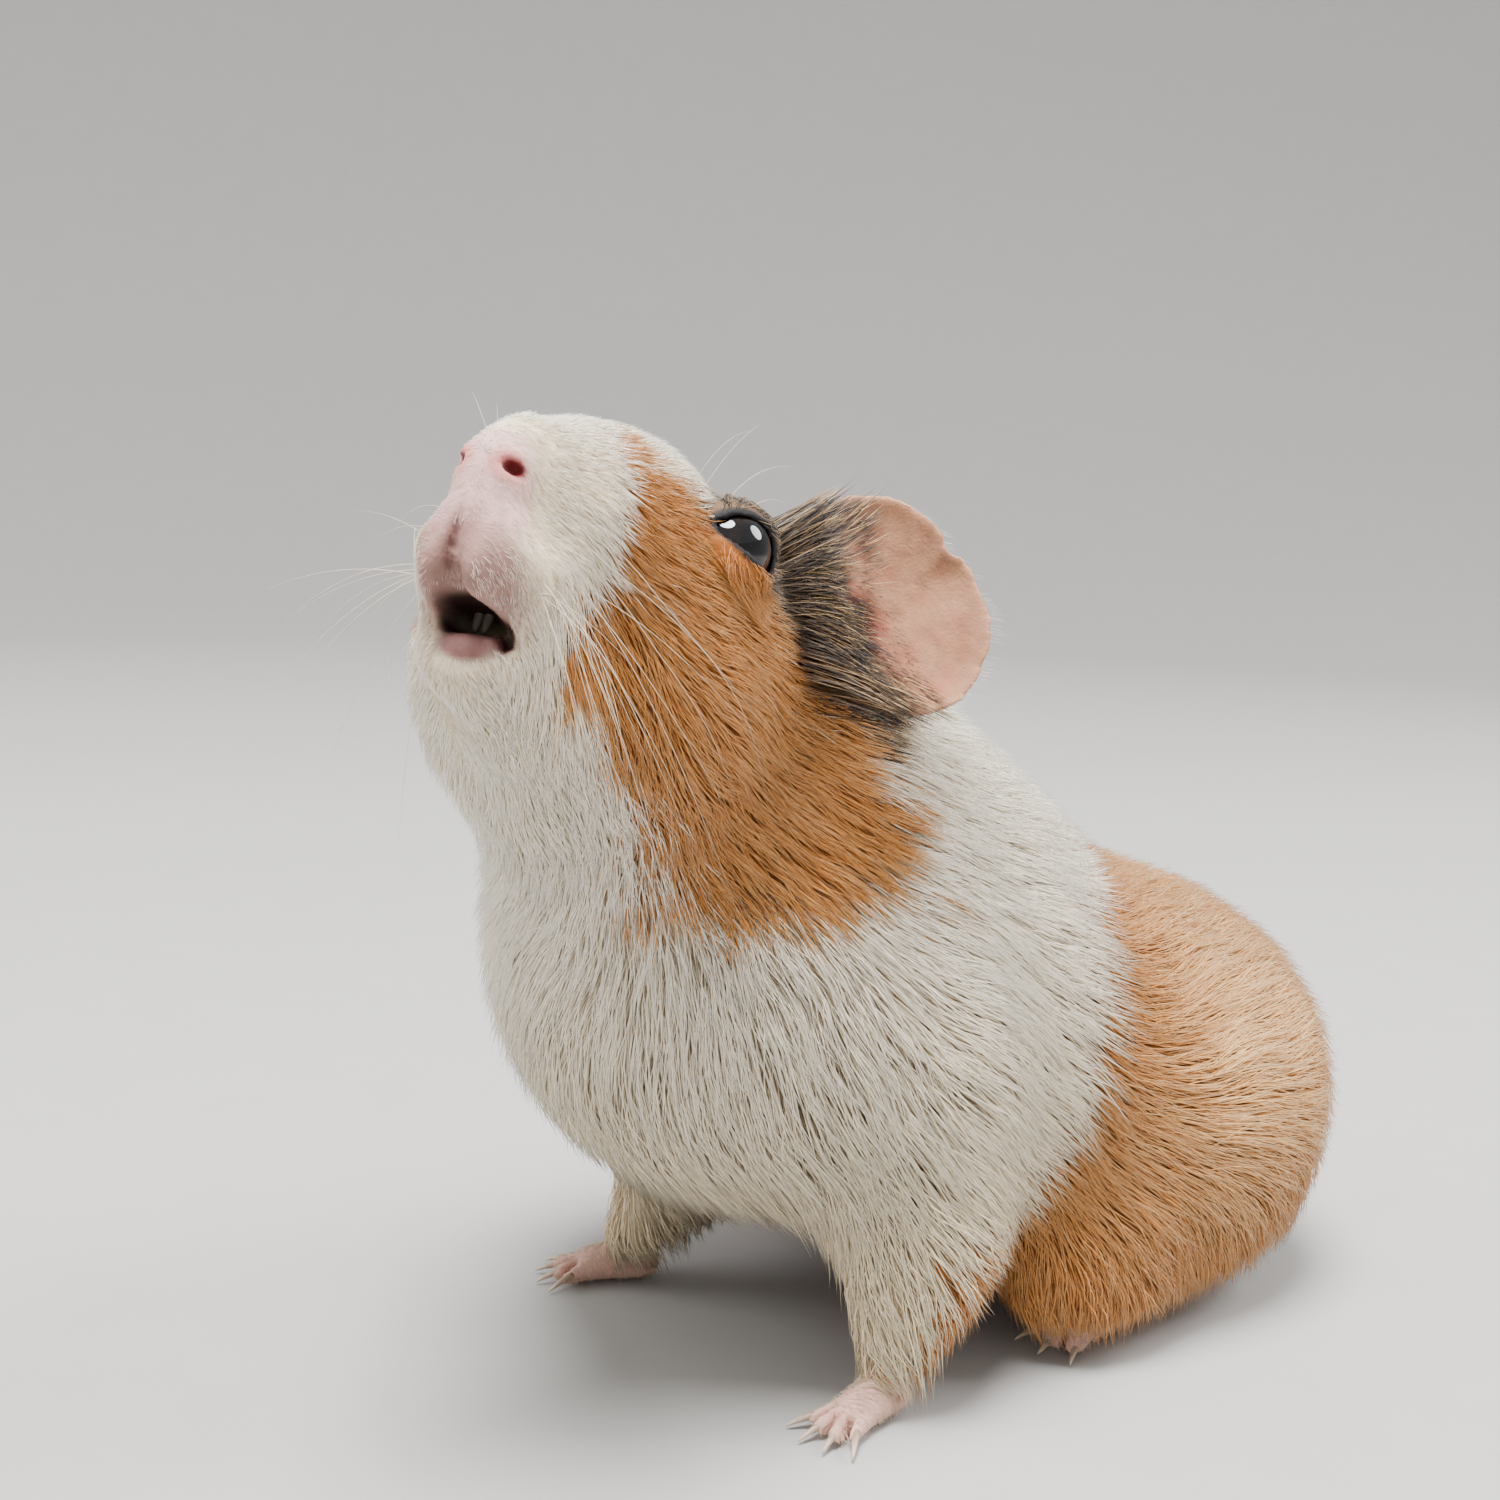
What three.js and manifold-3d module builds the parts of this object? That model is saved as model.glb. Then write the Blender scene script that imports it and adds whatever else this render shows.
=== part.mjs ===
// A life-size guinea pig, sitting up on its forelegs with its nose raised and its head turned to its left.
// Millimetres, +Z up. The animal faces -Y, its left side is +X, and the floor is z = 0.
// The outer surface is that of the coat, out to its tips. The body is one smooth blend of rounded forms,
// which flat cuts part into the head, muzzle, neck, trunk, legs and feet.
import * as THREE from "three";
import { mergeVertices } from "three/addons/utils/BufferGeometryUtils.js";
import Module from "manifold-3d";

const wasm = await Module();
wasm.setup();

// ---- Driving dimensions -------------------------------------------------------------------------
const GAP = 0.3; // between neighbouring solids
const FAR = 400; // larger than the animal

const NOSE = [33.7, -108, 138.3]; // the tip of the nose
const HEAD_TURN = 35; // degrees to the animal's left
const HEAD_RAISE = 21.5; // degrees of the nose above level
const HEAD_LEAN = 5; // degrees about the head's own long axis
const MUZZLE_LENGTH = 21; // from the nose tip to the cut in front of the eyes
const NAPE = [0, 62, -8]; // where the cut behind the head passes, in the head's frame
const NAPE_RAISE = 22; // degrees that this cut leans forward at the throat
const NECK_BASE = [0, -36, 84]; // where the cut in front of the trunk passes
const NECK_RAISE = 60; // degrees that the neck rises from the trunk

const EYE_RADIUS = 5.8;
const EYE_CENTRE = [16.2, 42.5, 6]; // of the left eye, in the head's frame

const EAR_RADIUS = 15.2;
const EAR_THICKNESS = 1.8;
const EAR_CUP = 4.5; // how far its rim comes forward of its middle
const EAR_NOTCH = { angle: 58, depth: 3.6, width: 14 }; // in the upper rim, in degrees and mm
// Each ear's middle, then the ways from its base to its rim and up along its base, in the head's frame.
const EARS = [
  { name: "left", side: 1, middle: [31.6, 67, 6.6], outward: [0.8, 0.6, -0.1], upward: [-0.06, 0.24, 0.97] },
  { name: "right", side: -1, middle: [23, 73, 7], outward: [0.3, 0.94, -0.15], upward: [-0.15, 0.2, 0.97] },
];

const CLAW_LENGTH = 4.5;
const PAW_CELL = 2.8; // how fine the paws' meshes are
const FOREFEET = [
  { name: "left", side: 1, heel: [27, -30], heading: 6 },
  { name: "right", side: -1, heel: [-31, -33], heading: -32 },
];
const HINDFEET = [
  { name: "left", side: 1, heel: [26, 41], heading: 4 },
  { name: "right", side: -1, heel: [-26, 41], heading: -4 },
];
// A paw: the middles and radii of its heel and of the ball of its toes, then the toes' angles in degrees,
// how far they reach beyond the ball, and their radius.
const FOREPAW = {
  heel: [0, 0, 3], ball: [0, -7, 2.8], radii: [4, 3.8], toes: [-36, -12, 12, 36], reach: 7.5, toe: 1.9,
};
const HINDPAW = {
  heel: [0, 0, 3], ball: [0, -27, 2.8], radii: [3.8, 4.6], toes: [-24, 0, 24], reach: 10, toe: 2.2,
};

// What each leg takes from the body: a block between two corners, on the left side.
const FORELEG_BLOCK = [[12, -90, -20], [80, -9, 30]];
const HINDLEG_BLOCK = [[19, -9 + GAP, -20], [80, 76, 46]];

// ---- Rounded forms, as signed distances ---------------------------------------------------------
// A form is a function of x, y and z that is below zero inside and above zero outside.

// The frame of a part of the body: its turn to the left, its raise and its lean, in degrees.
function frameAt(origin, turn = 0, raise = 0, lean = 0) {
  const [z, x, y] = [turn, -raise, lean].map(THREE.MathUtils.degToRad);
  return new THREE.Matrix4()
    .makeRotationFromEuler(new THREE.Euler(x, y, z, "ZXY"))
    .setPosition(...origin);
}
const BODY = frameAt([0, 0, 0]);
const HEAD = frameAt(NOSE, HEAD_TURN, HEAD_RAISE, HEAD_LEAN);

function ellipsoid(frame, centre, radii, raise = 0) {
  const m = frame.clone().multiply(frameAt(centre, 0, raise)).invert().elements;
  const [a, b, c] = radii;
  return (x, y, z) => {
    const px = (m[0] * x + m[4] * y + m[8] * z + m[12]) / a;
    const py = (m[1] * x + m[5] * y + m[9] * z + m[13]) / b;
    const pz = (m[2] * x + m[6] * y + m[10] * z + m[14]) / c;
    const k0 = Math.hypot(px, py, pz);
    const k1 = Math.hypot(px / a, py / b, pz / c);
    return k1 > 0 ? (k0 * (k0 - 1)) / k1 : -Math.min(a, b, c);
  };
}

// A limb that tapers from radius ra at a to radius rb at b, with round ends.
function taper(frame, a, b, ra, rb) {
  const p = new THREE.Vector3(...a).applyMatrix4(frame);
  const d = new THREE.Vector3(...b).applyMatrix4(frame).sub(p);
  const l2 = d.lengthSq();
  return (x, y, z) => {
    const [vx, vy, vz] = [x - p.x, y - p.y, z - p.z];
    const t = Math.min(1, Math.max(0, (vx * d.x + vy * d.y + vz * d.z) / l2));
    return Math.hypot(vx - t * d.x, vy - t * d.y, vz - t * d.z) - (ra + t * (rb - ra));
  };
}

// The union of several forms, with fillets of about k between them.
function blend(k, ...forms) {
  return (x, y, z) => {
    let d = forms[0](x, y, z);
    for (let i = 1; i < forms.length; i++) {
      const e = forms[i](x, y, z);
      const h = Math.max(k - Math.abs(d - e), 0) / k;
      d = Math.min(d, e) - (h * h * k) / 4;
    }
    return d;
  };
}

// The same form on both sides of a frame: 1 is the left side and -1 the right.
const bothSides = (make) => [make(1), make(-1)];

// ---- The head, in its own frame: the nose tip is the origin, -Y is forward and +Z the crown ------
function headForm() {
  const skull = blend(
    7,
    ellipsoid(HEAD, [0, 47, 1], [18, 24, 17.5]),
    taper(HEAD, [0, 14, 1.4], [0, 36, 2.5], 9.2, 16),
    taper(HEAD, [0, 15.5, -19], [0, 46, -18], 6.8, 16),
    ...bothSides((s) => ellipsoid(HEAD, [s * 11, 52, -11], [12, 20, 18])),
  );
  const nose = ellipsoid(HEAD, [0, 6.5, -1], [7, 6.5, 6.5]);
  const upperLips = bothSides((s) => ellipsoid(HEAD, [s * 3.2, 13.5, -9], [5.8, 12.5, 7.6]));
  const lowerLip = ellipsoid(HEAD, [0, 10, -21], [4.6, 4.4, 2.8]);
  return blend(5, skull, nose, ...upperLips, lowerLip);
}

// What the muzzle's openings take away: each is a middle and three radii, in the head's frame.
const NOSTRIL = { middle: [4.4, 0.9, -1.2], radii: [1.7, 2.4, 1] };
const PHILTRUM = { middle: [0, 0.2, -9.5], radii: [0.6, 2.2, 5.5] };
const MOUTH = { middle: [0, 4.5, -17], radii: [4.2, 5, 1.7] };

// ---- The neck, trunk and legs, in the body's frame ----------------------------------------------
function neckForm() {
  const throat = new THREE.Vector3(-2, 62, -14).applyMatrix4(HEAD).toArray();
  const nape = new THREE.Vector3(3, 73, -1).applyMatrix4(HEAD).toArray();
  return blend(
    14,
    taper(BODY, [-11, -36, 66], throat, 36, 22),
    taper(BODY, [-1, -12, 67], nape, 36, 23),
  );
}

function trunkForm() {
  return blend(
    18,
    ellipsoid(BODY, [-6, -34, 60], [43, 38, 35], 20),
    ellipsoid(BODY, [0, 10, 47], [42, 44, 34], 16),
    ellipsoid(BODY, [1, 46, 37], [42, 37, 33], 0),
  );
}

function forelegForm({ side, heel }) {
  return blend(
    8,
    taper(BODY, [side * 24, -26, 50], [side * 27, -26, 28], 17, 12),
    taper(BODY, [side * 27, -26, 28], [heel[0], heel[1] - 1, 10.5], 12, 5.5),
  );
}

function hindlegForm({ side }) {
  return blend(
    10,
    ellipsoid(BODY, [side * 28, 36, 30], [16, 30, 26]),
    ellipsoid(BODY, [side * 29, 9, 18], [13, 16, 15]),
  );
}

const wholeForm = blend(
  10,
  blend(12, trunkForm(), neckForm(), headForm()),
  ...FOREFEET.map(forelegForm),
  ...HINDFEET.map(hindlegForm),
);

// A paw, in its own frame: a sole and its toes.
function pawForm(frame, paw) {
  const toes = paw.toes.map((angle) => {
    const a = THREE.MathUtils.degToRad(angle);
    const tip = [paw.ball[0] + paw.reach * Math.sin(a), paw.ball[1] - paw.reach * Math.cos(a), 1.6];
    return taper(frame, paw.ball, tip, paw.toe * 1.2, paw.toe);
  });
  return blend(2, taper(frame, paw.heel, paw.ball, ...paw.radii), ...toes);
}

const grown = (form, by) => (x, y, z) => form(x, y, z) - by;

// ---- From a form to a closed mesh ---------------------------------------------------------------

// The surface of a form inside a box, with one vertex in each cell that it crosses.
function surfaceNet(form, [low, high], cell) {
  const boxed = (x, y, z) =>
    Math.max(
      form(x, y, z),
      Math.max(low[0] - x, x - high[0]),
      Math.max(low[1] - y, y - high[1]),
      Math.max(low[2] - z, z - high[2]),
    );
  const n = low.map((v, i) => Math.ceil((high[i] - v) / cell) + 4);
  const start = low.map((v) => v - 1.5 * cell);
  const at = (i, j, k) => i + n[0] * (j + n[1] * k);
  const values = new Float32Array(n[0] * n[1] * n[2]);
  eachCell(n, 0, (i, j, k) => {
    values[at(i, j, k)] = boxed(...[i, j, k].map((v, m) => start[m] + v * cell));
  });

  const points = [];
  const vertexOf = new Int32Array(values.length);
  eachCell(n, 1, (i, j, k) => {
    const point = cellPoint(i, j, k);
    if (!point) return;
    vertexOf[at(i, j, k)] = points.length / 3;
    points.push(...settled(point));
  });

  const triangles = [];
  const strides = [at(1, 0, 0), at(0, 1, 0), at(0, 0, 1)];
  eachCell(n, 1, (i, j, k) => {
    if (i * j * k === 0) return;
    const here = at(i, j, k);
    strides.forEach((ahead, axis) => {
      const inside = values[here] < 0;
      if (inside === values[here + ahead] < 0) return;
      const [u, v] = [strides[(axis + 1) % 3], strides[(axis + 2) % 3]];
      const quad = [here, here - u, here - u - v, here - v].map((c) => vertexOf[c]);
      if (!inside) quad.reverse();
      triangles.push(quad[0], quad[1], quad[2], quad[0], quad[2], quad[3]);
    });
  });
  return new THREE.BufferGeometry()
    .setAttribute("position", new THREE.Float32BufferAttribute(points, 3))
    .setIndex(triangles);

  // The mean of the places where the surface crosses the cell's twelve edges.
  function cellPoint(i, j, k) {
    const sum = [0, 0, 0];
    let crossings = 0;
    for (let edge = 0; edge < 12; edge++) {
      const axis = edge >> 2;
      const corner = [0, 0, 0];
      corner[(axis + 1) % 3] = edge & 1;
      corner[(axis + 2) % 3] = (edge >> 1) & 1;
      const from = values[at(i + corner[0], j + corner[1], k + corner[2])];
      corner[axis] = 1;
      const to = values[at(i + corner[0], j + corner[1], k + corner[2])];
      if (from < 0 === to < 0) continue;
      corner[axis] = from / (from - to);
      corner.forEach((c, m) => (sum[m] += c));
      crossings++;
    }
    if (!crossings) return null;
    return [i, j, k].map((v, m) => start[m] + (v + sum[m] / crossings) * cell);
  }

  // The point after one step towards the true surface.
  function settled([x, y, z]) {
    const e = 0.02;
    const d = boxed(x, y, z);
    const slope = [boxed(x + e, y, z) - d, boxed(x, y + e, z) - d, boxed(x, y, z + e) - d];
    const g = slope.map((s) => s / e);
    const steepness = Math.max(0.3, g[0] ** 2 + g[1] ** 2 + g[2] ** 2);
    const step = THREE.MathUtils.clamp(d / steepness, -cell / 3, cell / 3);
    return [x - step * g[0], y - step * g[1], z - step * g[2]];
  }
}

function eachCell(n, margin, visit) {
  for (let k = 0; k < n[2] - margin; k++)
    for (let j = 0; j < n[1] - margin; j++)
      for (let i = 0; i < n[0] - margin; i++) visit(i, j, k);
}

// ---- Solids -------------------------------------------------------------------------------------
function solidOf(geometry) {
  const bare = geometry.clone();
  bare.deleteAttribute("normal");
  bare.deleteAttribute("uv");
  const merged = mergeVertices(bare, 1e-4);
  return new wasm.Manifold(
    new wasm.Mesh({
      numProp: 3,
      vertProperties: merged.attributes.position.array,
      triVerts: new Uint32Array(merged.index.array),
    }),
  );
}

function geometryOf(solid) {
  const mesh = solid.getMesh();
  return new THREE.BufferGeometry()
    .setAttribute("position", new THREE.BufferAttribute(mesh.vertProperties, 3))
    .setIndex(new THREE.BufferAttribute(mesh.triVerts, 1))
    .toNonIndexed();
}

// A block between two corners, grown on every side.
function block([low, high], grow = 0) {
  const size = low.map((v, i) => high[i] - v + 2 * grow);
  const centre = low.map((v, i) => (v + high[i]) / 2);
  return solidOf(new THREE.BoxGeometry(...size).translate(...centre));
}

// All that lies in front of, or behind, a cut across a frame at a depth along the frame's Y axis.
function inFrontOf(frame, depth = 0) {
  const box = new THREE.BoxGeometry(FAR, FAR, FAR).translate(0, depth - GAP / 2 - FAR / 2, 0);
  return solidOf(box.applyMatrix4(frame));
}

function behind(frame, depth = 0) {
  const box = new THREE.BoxGeometry(FAR, FAR, FAR).translate(0, depth + GAP / 2 + FAR / 2, 0);
  return solidOf(box.applyMatrix4(frame));
}

const mirrored = ([low, high]) => [[-high[0], low[1], low[2]], [-low[0], high[1], high[2]]];
const onSide = (side, box) => (side > 0 ? box : mirrored(box));

function eyeball(side, radius) {
  const sphere = new THREE.SphereGeometry(radius, 14, 9);
  const [x, y, z] = EYE_CENTRE;
  return solidOf(sphere.translate(side * x, y, z).applyMatrix4(HEAD));
}

// A small rounded cutter in the head's frame.
function pit({ middle: [x, y, z], radii }, side = 1) {
  const sphere = new THREE.SphereGeometry(1, 10, 7).scale(...radii);
  return solidOf(sphere.translate(side * x, y, z).applyMatrix4(HEAD));
}

// A paw with a claw on each toe: slim cones that start inside the toes and curve down a little.
function pawSolid({ heel, heading }, paw, growth = 0) {
  const frame = frameAt([...heel, 0], heading);
  const [x, y] = heel;
  const box = [[x - 30, y - 60, -8], [x + 30, y + 20, 30]];
  let solid = solidOf(surfaceNet(grown(pawForm(frame, paw), growth), box, PAW_CELL));
  for (const angle of growth ? [] : paw.toes) {
    const cone = new THREE.CylinderGeometry(0.95, 0.25, CLAW_LENGTH, 7);
    cone.rotateX(0.2).translate(0, -paw.reach - CLAW_LENGTH / 2, 1.7);
    cone.rotateZ(THREE.MathUtils.degToRad(angle)).translate(...paw.ball.slice(0, 2), 0);
    solid = solid.add(solidOf(cone.applyMatrix4(frame)));
  }
  return solid.subtract(block([[-FAR, -FAR, -FAR], [FAR, FAR, 0]]));
}

// ---- The ear: a cupped disc with a lobed rim ------------------------------------------------------
function earFrame({ side, middle, outward, upward }) {
  const x = new THREE.Vector3(...outward).normalize();
  const y = new THREE.Vector3(...upward);
  y.addScaledVector(x, -y.dot(x)).normalize();
  const own = new THREE.Matrix4()
    .makeBasis(x, y, new THREE.Vector3().crossVectors(x, y))
    .setPosition(...middle);
  return HEAD.clone().multiply(new THREE.Matrix4().makeScale(side, 1, 1)).multiply(own);
}

function earReach(angle) {
  const { angle: middle, depth, width } = EAR_NOTCH;
  const off = (THREE.MathUtils.radToDeg(angle) - middle) / width;
  return EAR_RADIUS + 0.5 * Math.cos(4 * angle) - depth * Math.exp(-off * off);
}

function earSolid(ear) {
  const spokes = 30;
  const rings = [0.34, 0.64, 0.87, 1];
  const points = [];
  for (const face of [1, -1]) {
    points.push(0, 0, (face * EAR_THICKNESS) / 2);
    for (const t of rings)
      for (let i = 0; i < spokes; i++) {
        const angle = ((2 * i) / spokes - 1) * Math.PI;
        const reach = earReach(angle) * t;
        const half = (face * EAR_THICKNESS * (1 - 0.45 * t ** 4)) / 2;
        points.push(reach * Math.cos(angle), reach * Math.sin(angle), EAR_CUP * t * t + half);
      }
  }
  const rim = rings.length - 1;
  const middle = (back) => back * (1 + rings.length * spokes);
  const node = (back, ring, i) => middle(back) + 1 + ring * spokes + (i % spokes);
  const triangles = [];
  const quad = (a, b, c, d) => triangles.push(a, b, c, a, c, d);
  for (let i = 0; i < spokes; i++) {
    triangles.push(middle(0), node(0, 0, i), node(0, 0, i + 1));
    triangles.push(middle(1), node(1, 0, i + 1), node(1, 0, i));
    for (let r = 0; r < rim; r++) {
      quad(node(0, r, i), node(0, r + 1, i), node(0, r + 1, i + 1), node(0, r, i + 1));
      quad(node(1, r, i), node(1, r, i + 1), node(1, r + 1, i + 1), node(1, r + 1, i));
    }
    quad(node(0, rim, i), node(1, rim, i), node(1, rim, i + 1), node(0, rim, i + 1));
  }
  if (ear.side < 0) triangles.reverse();
  const geometry = new THREE.BufferGeometry()
    .setAttribute("position", new THREE.Float32BufferAttribute(points, 3))
    .setIndex(triangles);
  return solidOf(geometry.applyMatrix4(earFrame(ear)));
}

// ---- The pieces ---------------------------------------------------------------------------------
const guineaPig = new THREE.Group();

function addPiece(name, solid, color, roughness = 0.9) {
  const material = new THREE.MeshStandardMaterial({ color, roughness, metalness: 0 });
  const mesh = new THREE.Mesh(geometryOf(solid), material);
  mesh.name = name;
  guineaPig.add(mesh);
}

// The part of the body inside a box, with a mesh of its own fineness.
const bodyInside = (box, cell, growth = 0) => solidOf(surfaceNet(grown(wholeForm, growth), box, cell));

const napeCut = HEAD.clone().multiply(frameAt(NAPE, 0, NAPE_RAISE));
const neckCut = frameAt(NECK_BASE, 0, NECK_RAISE);
const WHITE = 0xe9e0d2;
const GINGER = 0xbf7c3a;
const SKIN = 0xd9a896;

let muzzle = bodyInside([[0, -130, 95], [65, -70, 165]], 2.6).intersect(inFrontOf(HEAD, MUZZLE_LENGTH));
for (const opening of [pit(NOSTRIL, 1), pit(NOSTRIL, -1), pit(PHILTRUM), pit(MOUTH)]) {
  muzzle = muzzle.subtract(opening);
}
addPiece("muzzle", muzzle, WHITE);

let head = bodyInside([[-50, -125, 70], [60, -10, 170]], 4.2)
  .intersect(behind(HEAD, MUZZLE_LENGTH))
  .intersect(inFrontOf(napeCut));
for (const side of [1, -1]) head = head.subtract(eyeball(side, EYE_RADIUS + GAP));
addPiece("head", head, WHITE);

addPiece("eye_left", eyeball(1, EYE_RADIUS), 0x120d0c, 0.1);
addPiece("eye_right", eyeball(-1, EYE_RADIUS), 0x120d0c, 0.1);

const aroundEars = bodyInside([[-60, -95, 60], [70, 20, 170]], 3, GAP);
for (const ear of EARS) {
  addPiece(`ear_${ear.name}`, earSolid(ear).subtract(aroundEars), SKIN, 0.7);
}

const bodyBox = [[-80, -90, 0], [80, 110, 160]];
addPiece("neck", bodyInside(bodyBox, 8).intersect(behind(napeCut)).intersect(inFrontOf(neckCut)), WHITE);

let trunk = bodyInside(bodyBox, 11).intersect(behind(neckCut));
for (const side of [1, -1]) {
  for (const box of [FORELEG_BLOCK, HINDLEG_BLOCK]) trunk = trunk.subtract(block(onSide(side, box), GAP));
}
addPiece("trunk", trunk, GINGER);

function addLeg(prefix, foot, box, cell, paw) {
  const leg = bodyInside(bodyBox, cell).intersect(block(onSide(foot.side, box))).intersect(behind(neckCut));
  addPiece(`${prefix}leg_${foot.name}`, leg.subtract(pawSolid(foot, paw, 2 * GAP)), WHITE);
  addPiece(`${prefix}foot_${foot.name}`, pawSolid(foot, paw), SKIN, 0.7);
}
for (const foot of FOREFEET) addLeg("fore", foot, FORELEG_BLOCK, 5.5, FOREPAW);
for (const foot of HINDFEET) addLeg("hind", foot, HINDLEG_BLOCK, 11, HINDPAW);

// The origin is on the floor, under the middle of the animal.
const extent = new THREE.Box3().setFromObject(guineaPig);
const middle = extent.getCenter(new THREE.Vector3());
guineaPig.position.set(-middle.x, -middle.y, -extent.min.z);

export default guineaPig;
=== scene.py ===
"""A life-size, short-coated guinea pig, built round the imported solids.

Its skin, eyes, claws, whiskers and coat are worked out in millimetres, and turned into metres when a
mesh is made. Two frames are used: the part's own (x to the animal's left, y to its tail, z up), and
the head's (x to its left, y back from the tip of the nose, z to the crown), in which all the face is
described.
"""

import bpy
import numpy as np
import openvdb as vdb
from mathutils import Matrix, Vector
from mathutils.kdtree import KDTree


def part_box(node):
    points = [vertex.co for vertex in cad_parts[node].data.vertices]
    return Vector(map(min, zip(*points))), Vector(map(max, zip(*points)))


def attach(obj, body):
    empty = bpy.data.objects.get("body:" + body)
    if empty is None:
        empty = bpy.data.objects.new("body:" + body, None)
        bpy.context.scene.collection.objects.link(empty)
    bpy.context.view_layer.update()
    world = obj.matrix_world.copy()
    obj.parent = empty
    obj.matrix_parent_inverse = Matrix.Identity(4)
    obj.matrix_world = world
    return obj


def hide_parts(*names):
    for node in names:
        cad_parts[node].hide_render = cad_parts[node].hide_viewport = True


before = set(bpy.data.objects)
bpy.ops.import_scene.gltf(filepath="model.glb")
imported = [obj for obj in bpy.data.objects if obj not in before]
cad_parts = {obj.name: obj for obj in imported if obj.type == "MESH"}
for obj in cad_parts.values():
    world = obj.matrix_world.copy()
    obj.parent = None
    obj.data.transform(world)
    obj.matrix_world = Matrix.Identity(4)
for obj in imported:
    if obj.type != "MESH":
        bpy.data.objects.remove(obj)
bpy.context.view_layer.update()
RNG = np.random.default_rng(7)
MM = 0.001

# ---- Driving sizes, in millimetres and degrees ----
HEAD_TURN, HEAD_RAISE, HEAD_LEAN = 35, 21.5, 5
EYE_IN_HEAD = np.array([16.2, 42.5, 6.0])  # the left eye's middle, in the head's frame
EYE_RADIUS, EYE_BULGE = 5.8, 0.25  # of the ball, and how far its clear front stands out from it
EYE_OPENING = (0.78, 0.55, 0.20)  # between the lids, as sines: half its length, its height, its depth
EYE_CLEAR = 7.4  # tufts stay this far from the eye's middle where it is open
LID_THICKNESS = 0.9
NOSE_PINCH, LIP_SPREAD = 0.8, 0.15  # shares the form is drawn in by at the nose, and let out by at the lips

EAR_RADIUS, EAR_THICKNESS, EAR_CUP = 15.7, 1.6, 4.5
EAR_NOTCH = (62, 1.5, 7)  # in the upper rim: its angle, depth and width
EAR_BASE, BASE_AT = (0.86, 0.51), -5.0  # the ear ends where this sum of out and up falls below the value
# The ear of each side, as if both were on the left: its middle, the way out to its rim, and up its base.
EARS = {
    1: ((31.6, 67, 6.6), (0.8, 0.6, -0.1), (-0.06, 0.24, 0.97)),
    -1: ((23, 73, 7), (0.3, 0.94, -0.15), (-0.15, 0.2, 0.97)),
}

BODY_CELL = 0.8  # of the grid that the body's form is read into
FACE_CELL, FINE_CELL, WIDE_CELL = 0.5, 0.72, 1.8  # of the grid that the skin is made from
# Along x, y and z: the smaller cells, and from where to where each is used.
FINE_STRETCHES = (
    [(FINE_CELL, -45, 60)],
    [(FINE_CELL, -100, -6), (FACE_CELL, -100, -72), (FINE_CELL, 16, 36)],
    [(FINE_CELL, -9, 9), (FINE_CELL, 92, 160), (FACE_CELL, 105, 146)],
)
HEAD_CORNER = (-45, -np.inf, 82)  # all of the head is beyond this corner
PAWS_TOP = 10  # toes are cut into the skin below this height
CUT_GAP = 0.4  # more than the gap between neighbouring solids
DEEPEST = 12  # how far inside the coat the form is needed

MOST_HAIR = 8.0  # hairs to a square millimetre
HAIR_WIDTH = (0.11, 0.016)  # and so much more for each millimetre of length
SHORT_WIDTH = (0.04, 0.04)  # the same for the shortest hair, which is finer
HAIR_STEPS = 2  # stretches of each short hair
# Each region of the coat: from where to where behind the nose, hairs to a lock, how closely they gather,
# and how many millimetres of hair grow on a square millimetre.
REGIONS = {
    "face": (-np.inf, 34, 7, 0.45, 24),
    "cheeks": (34, 72, 9, 0.5, 24),
    "body": (72, np.inf, 12, 0.36, 26),
}
KINDS = [("white", "coat_white"), ("ginger", "coat_ginger"), ("dark", "coat_ginger")]  # name and slot
LOWEST_HAIR = 0.4  # above the floor
EAR_TUFTS, EAR_DOWN = 2500, 600  # hairs of each ear
TUFT_PATCH = 0.003  # the size of each tuft's patch on the skin's unwrap
MOST_TRIANGLES = 190000  # of one piece of the coat

WHISKER_RADIUS = 0.048
WHISKER_LIFT = {1: -0.1, -1: 0.5}  # those of the left side lie down along the cheek
CLAW_LENGTH, CLAW_ROOTED, CLAW_RADIUS = 3.4, 1.6, 0.62  # outside the toe, inside it, and its half width
# Each foot: its heel, its heading, how far the ball is from the heel, the toes' angles and their reach.
FEET = {
    "fore_left": ((29.45, -14.68), 6, 7, (-36, -12, 12, 36), 7.5),
    "fore_right": ((-28.55, -17.68), -32, 7, (-36, -12, 12, 36), 7.5),
    "hind_left": ((28.45, 56.32), 4, 27, (-24, 0, 24), 10),
    "hind_right": ((-23.55, 56.32), -4, 27, (-24, 0, 24), 10),
}

CAMERA_AT = (0.21445, -0.20368, 0.140)  # metres
CAMERA_AZIMUTH, CAMERA_PITCH, CAMERA_ROLL = 49.7, 9.0, 2.2
CAMERA_LENS, CAMERA_SENSOR = 45.6, 36
# Each light: its name, place and size in metres, and power in watts.
LIGHTS = [
    ("key", (0.15, -0.25, 1.25), 0.55, 52),
    ("fill", (-0.75, -0.75, 0.45), 0.8, 6),
    ("back", (0.45, 0.8, 0.75), 0.55, 16),
]
SKY_STRENGTH = 0.8
FLOOR_RADIUS, FLOOR_SWEEP = 1.1, 0.9  # metres
FLOOR_TINTS = (0.40, 0.39, 0.375, 1), (0.425, 0.415, 0.40, 1)


# ---- Small helpers ----
def unit(vectors):
    vectors = np.asarray(vectors, float)
    return vectors / np.maximum(np.linalg.norm(vectors, axis=-1, keepdims=True), 1e-9)


def rise(x, low, high):
    """0 below low, 1 above high, and a smooth rise between them."""
    t = np.clip((x - low) / (high - low), 0, 1)
    return t * t * (3 - 2 * t)


def fall(x, low, high):
    """1 below low, 0 above high, and a smooth fall between them."""
    return 1 - rise(x, low, high)


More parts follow.
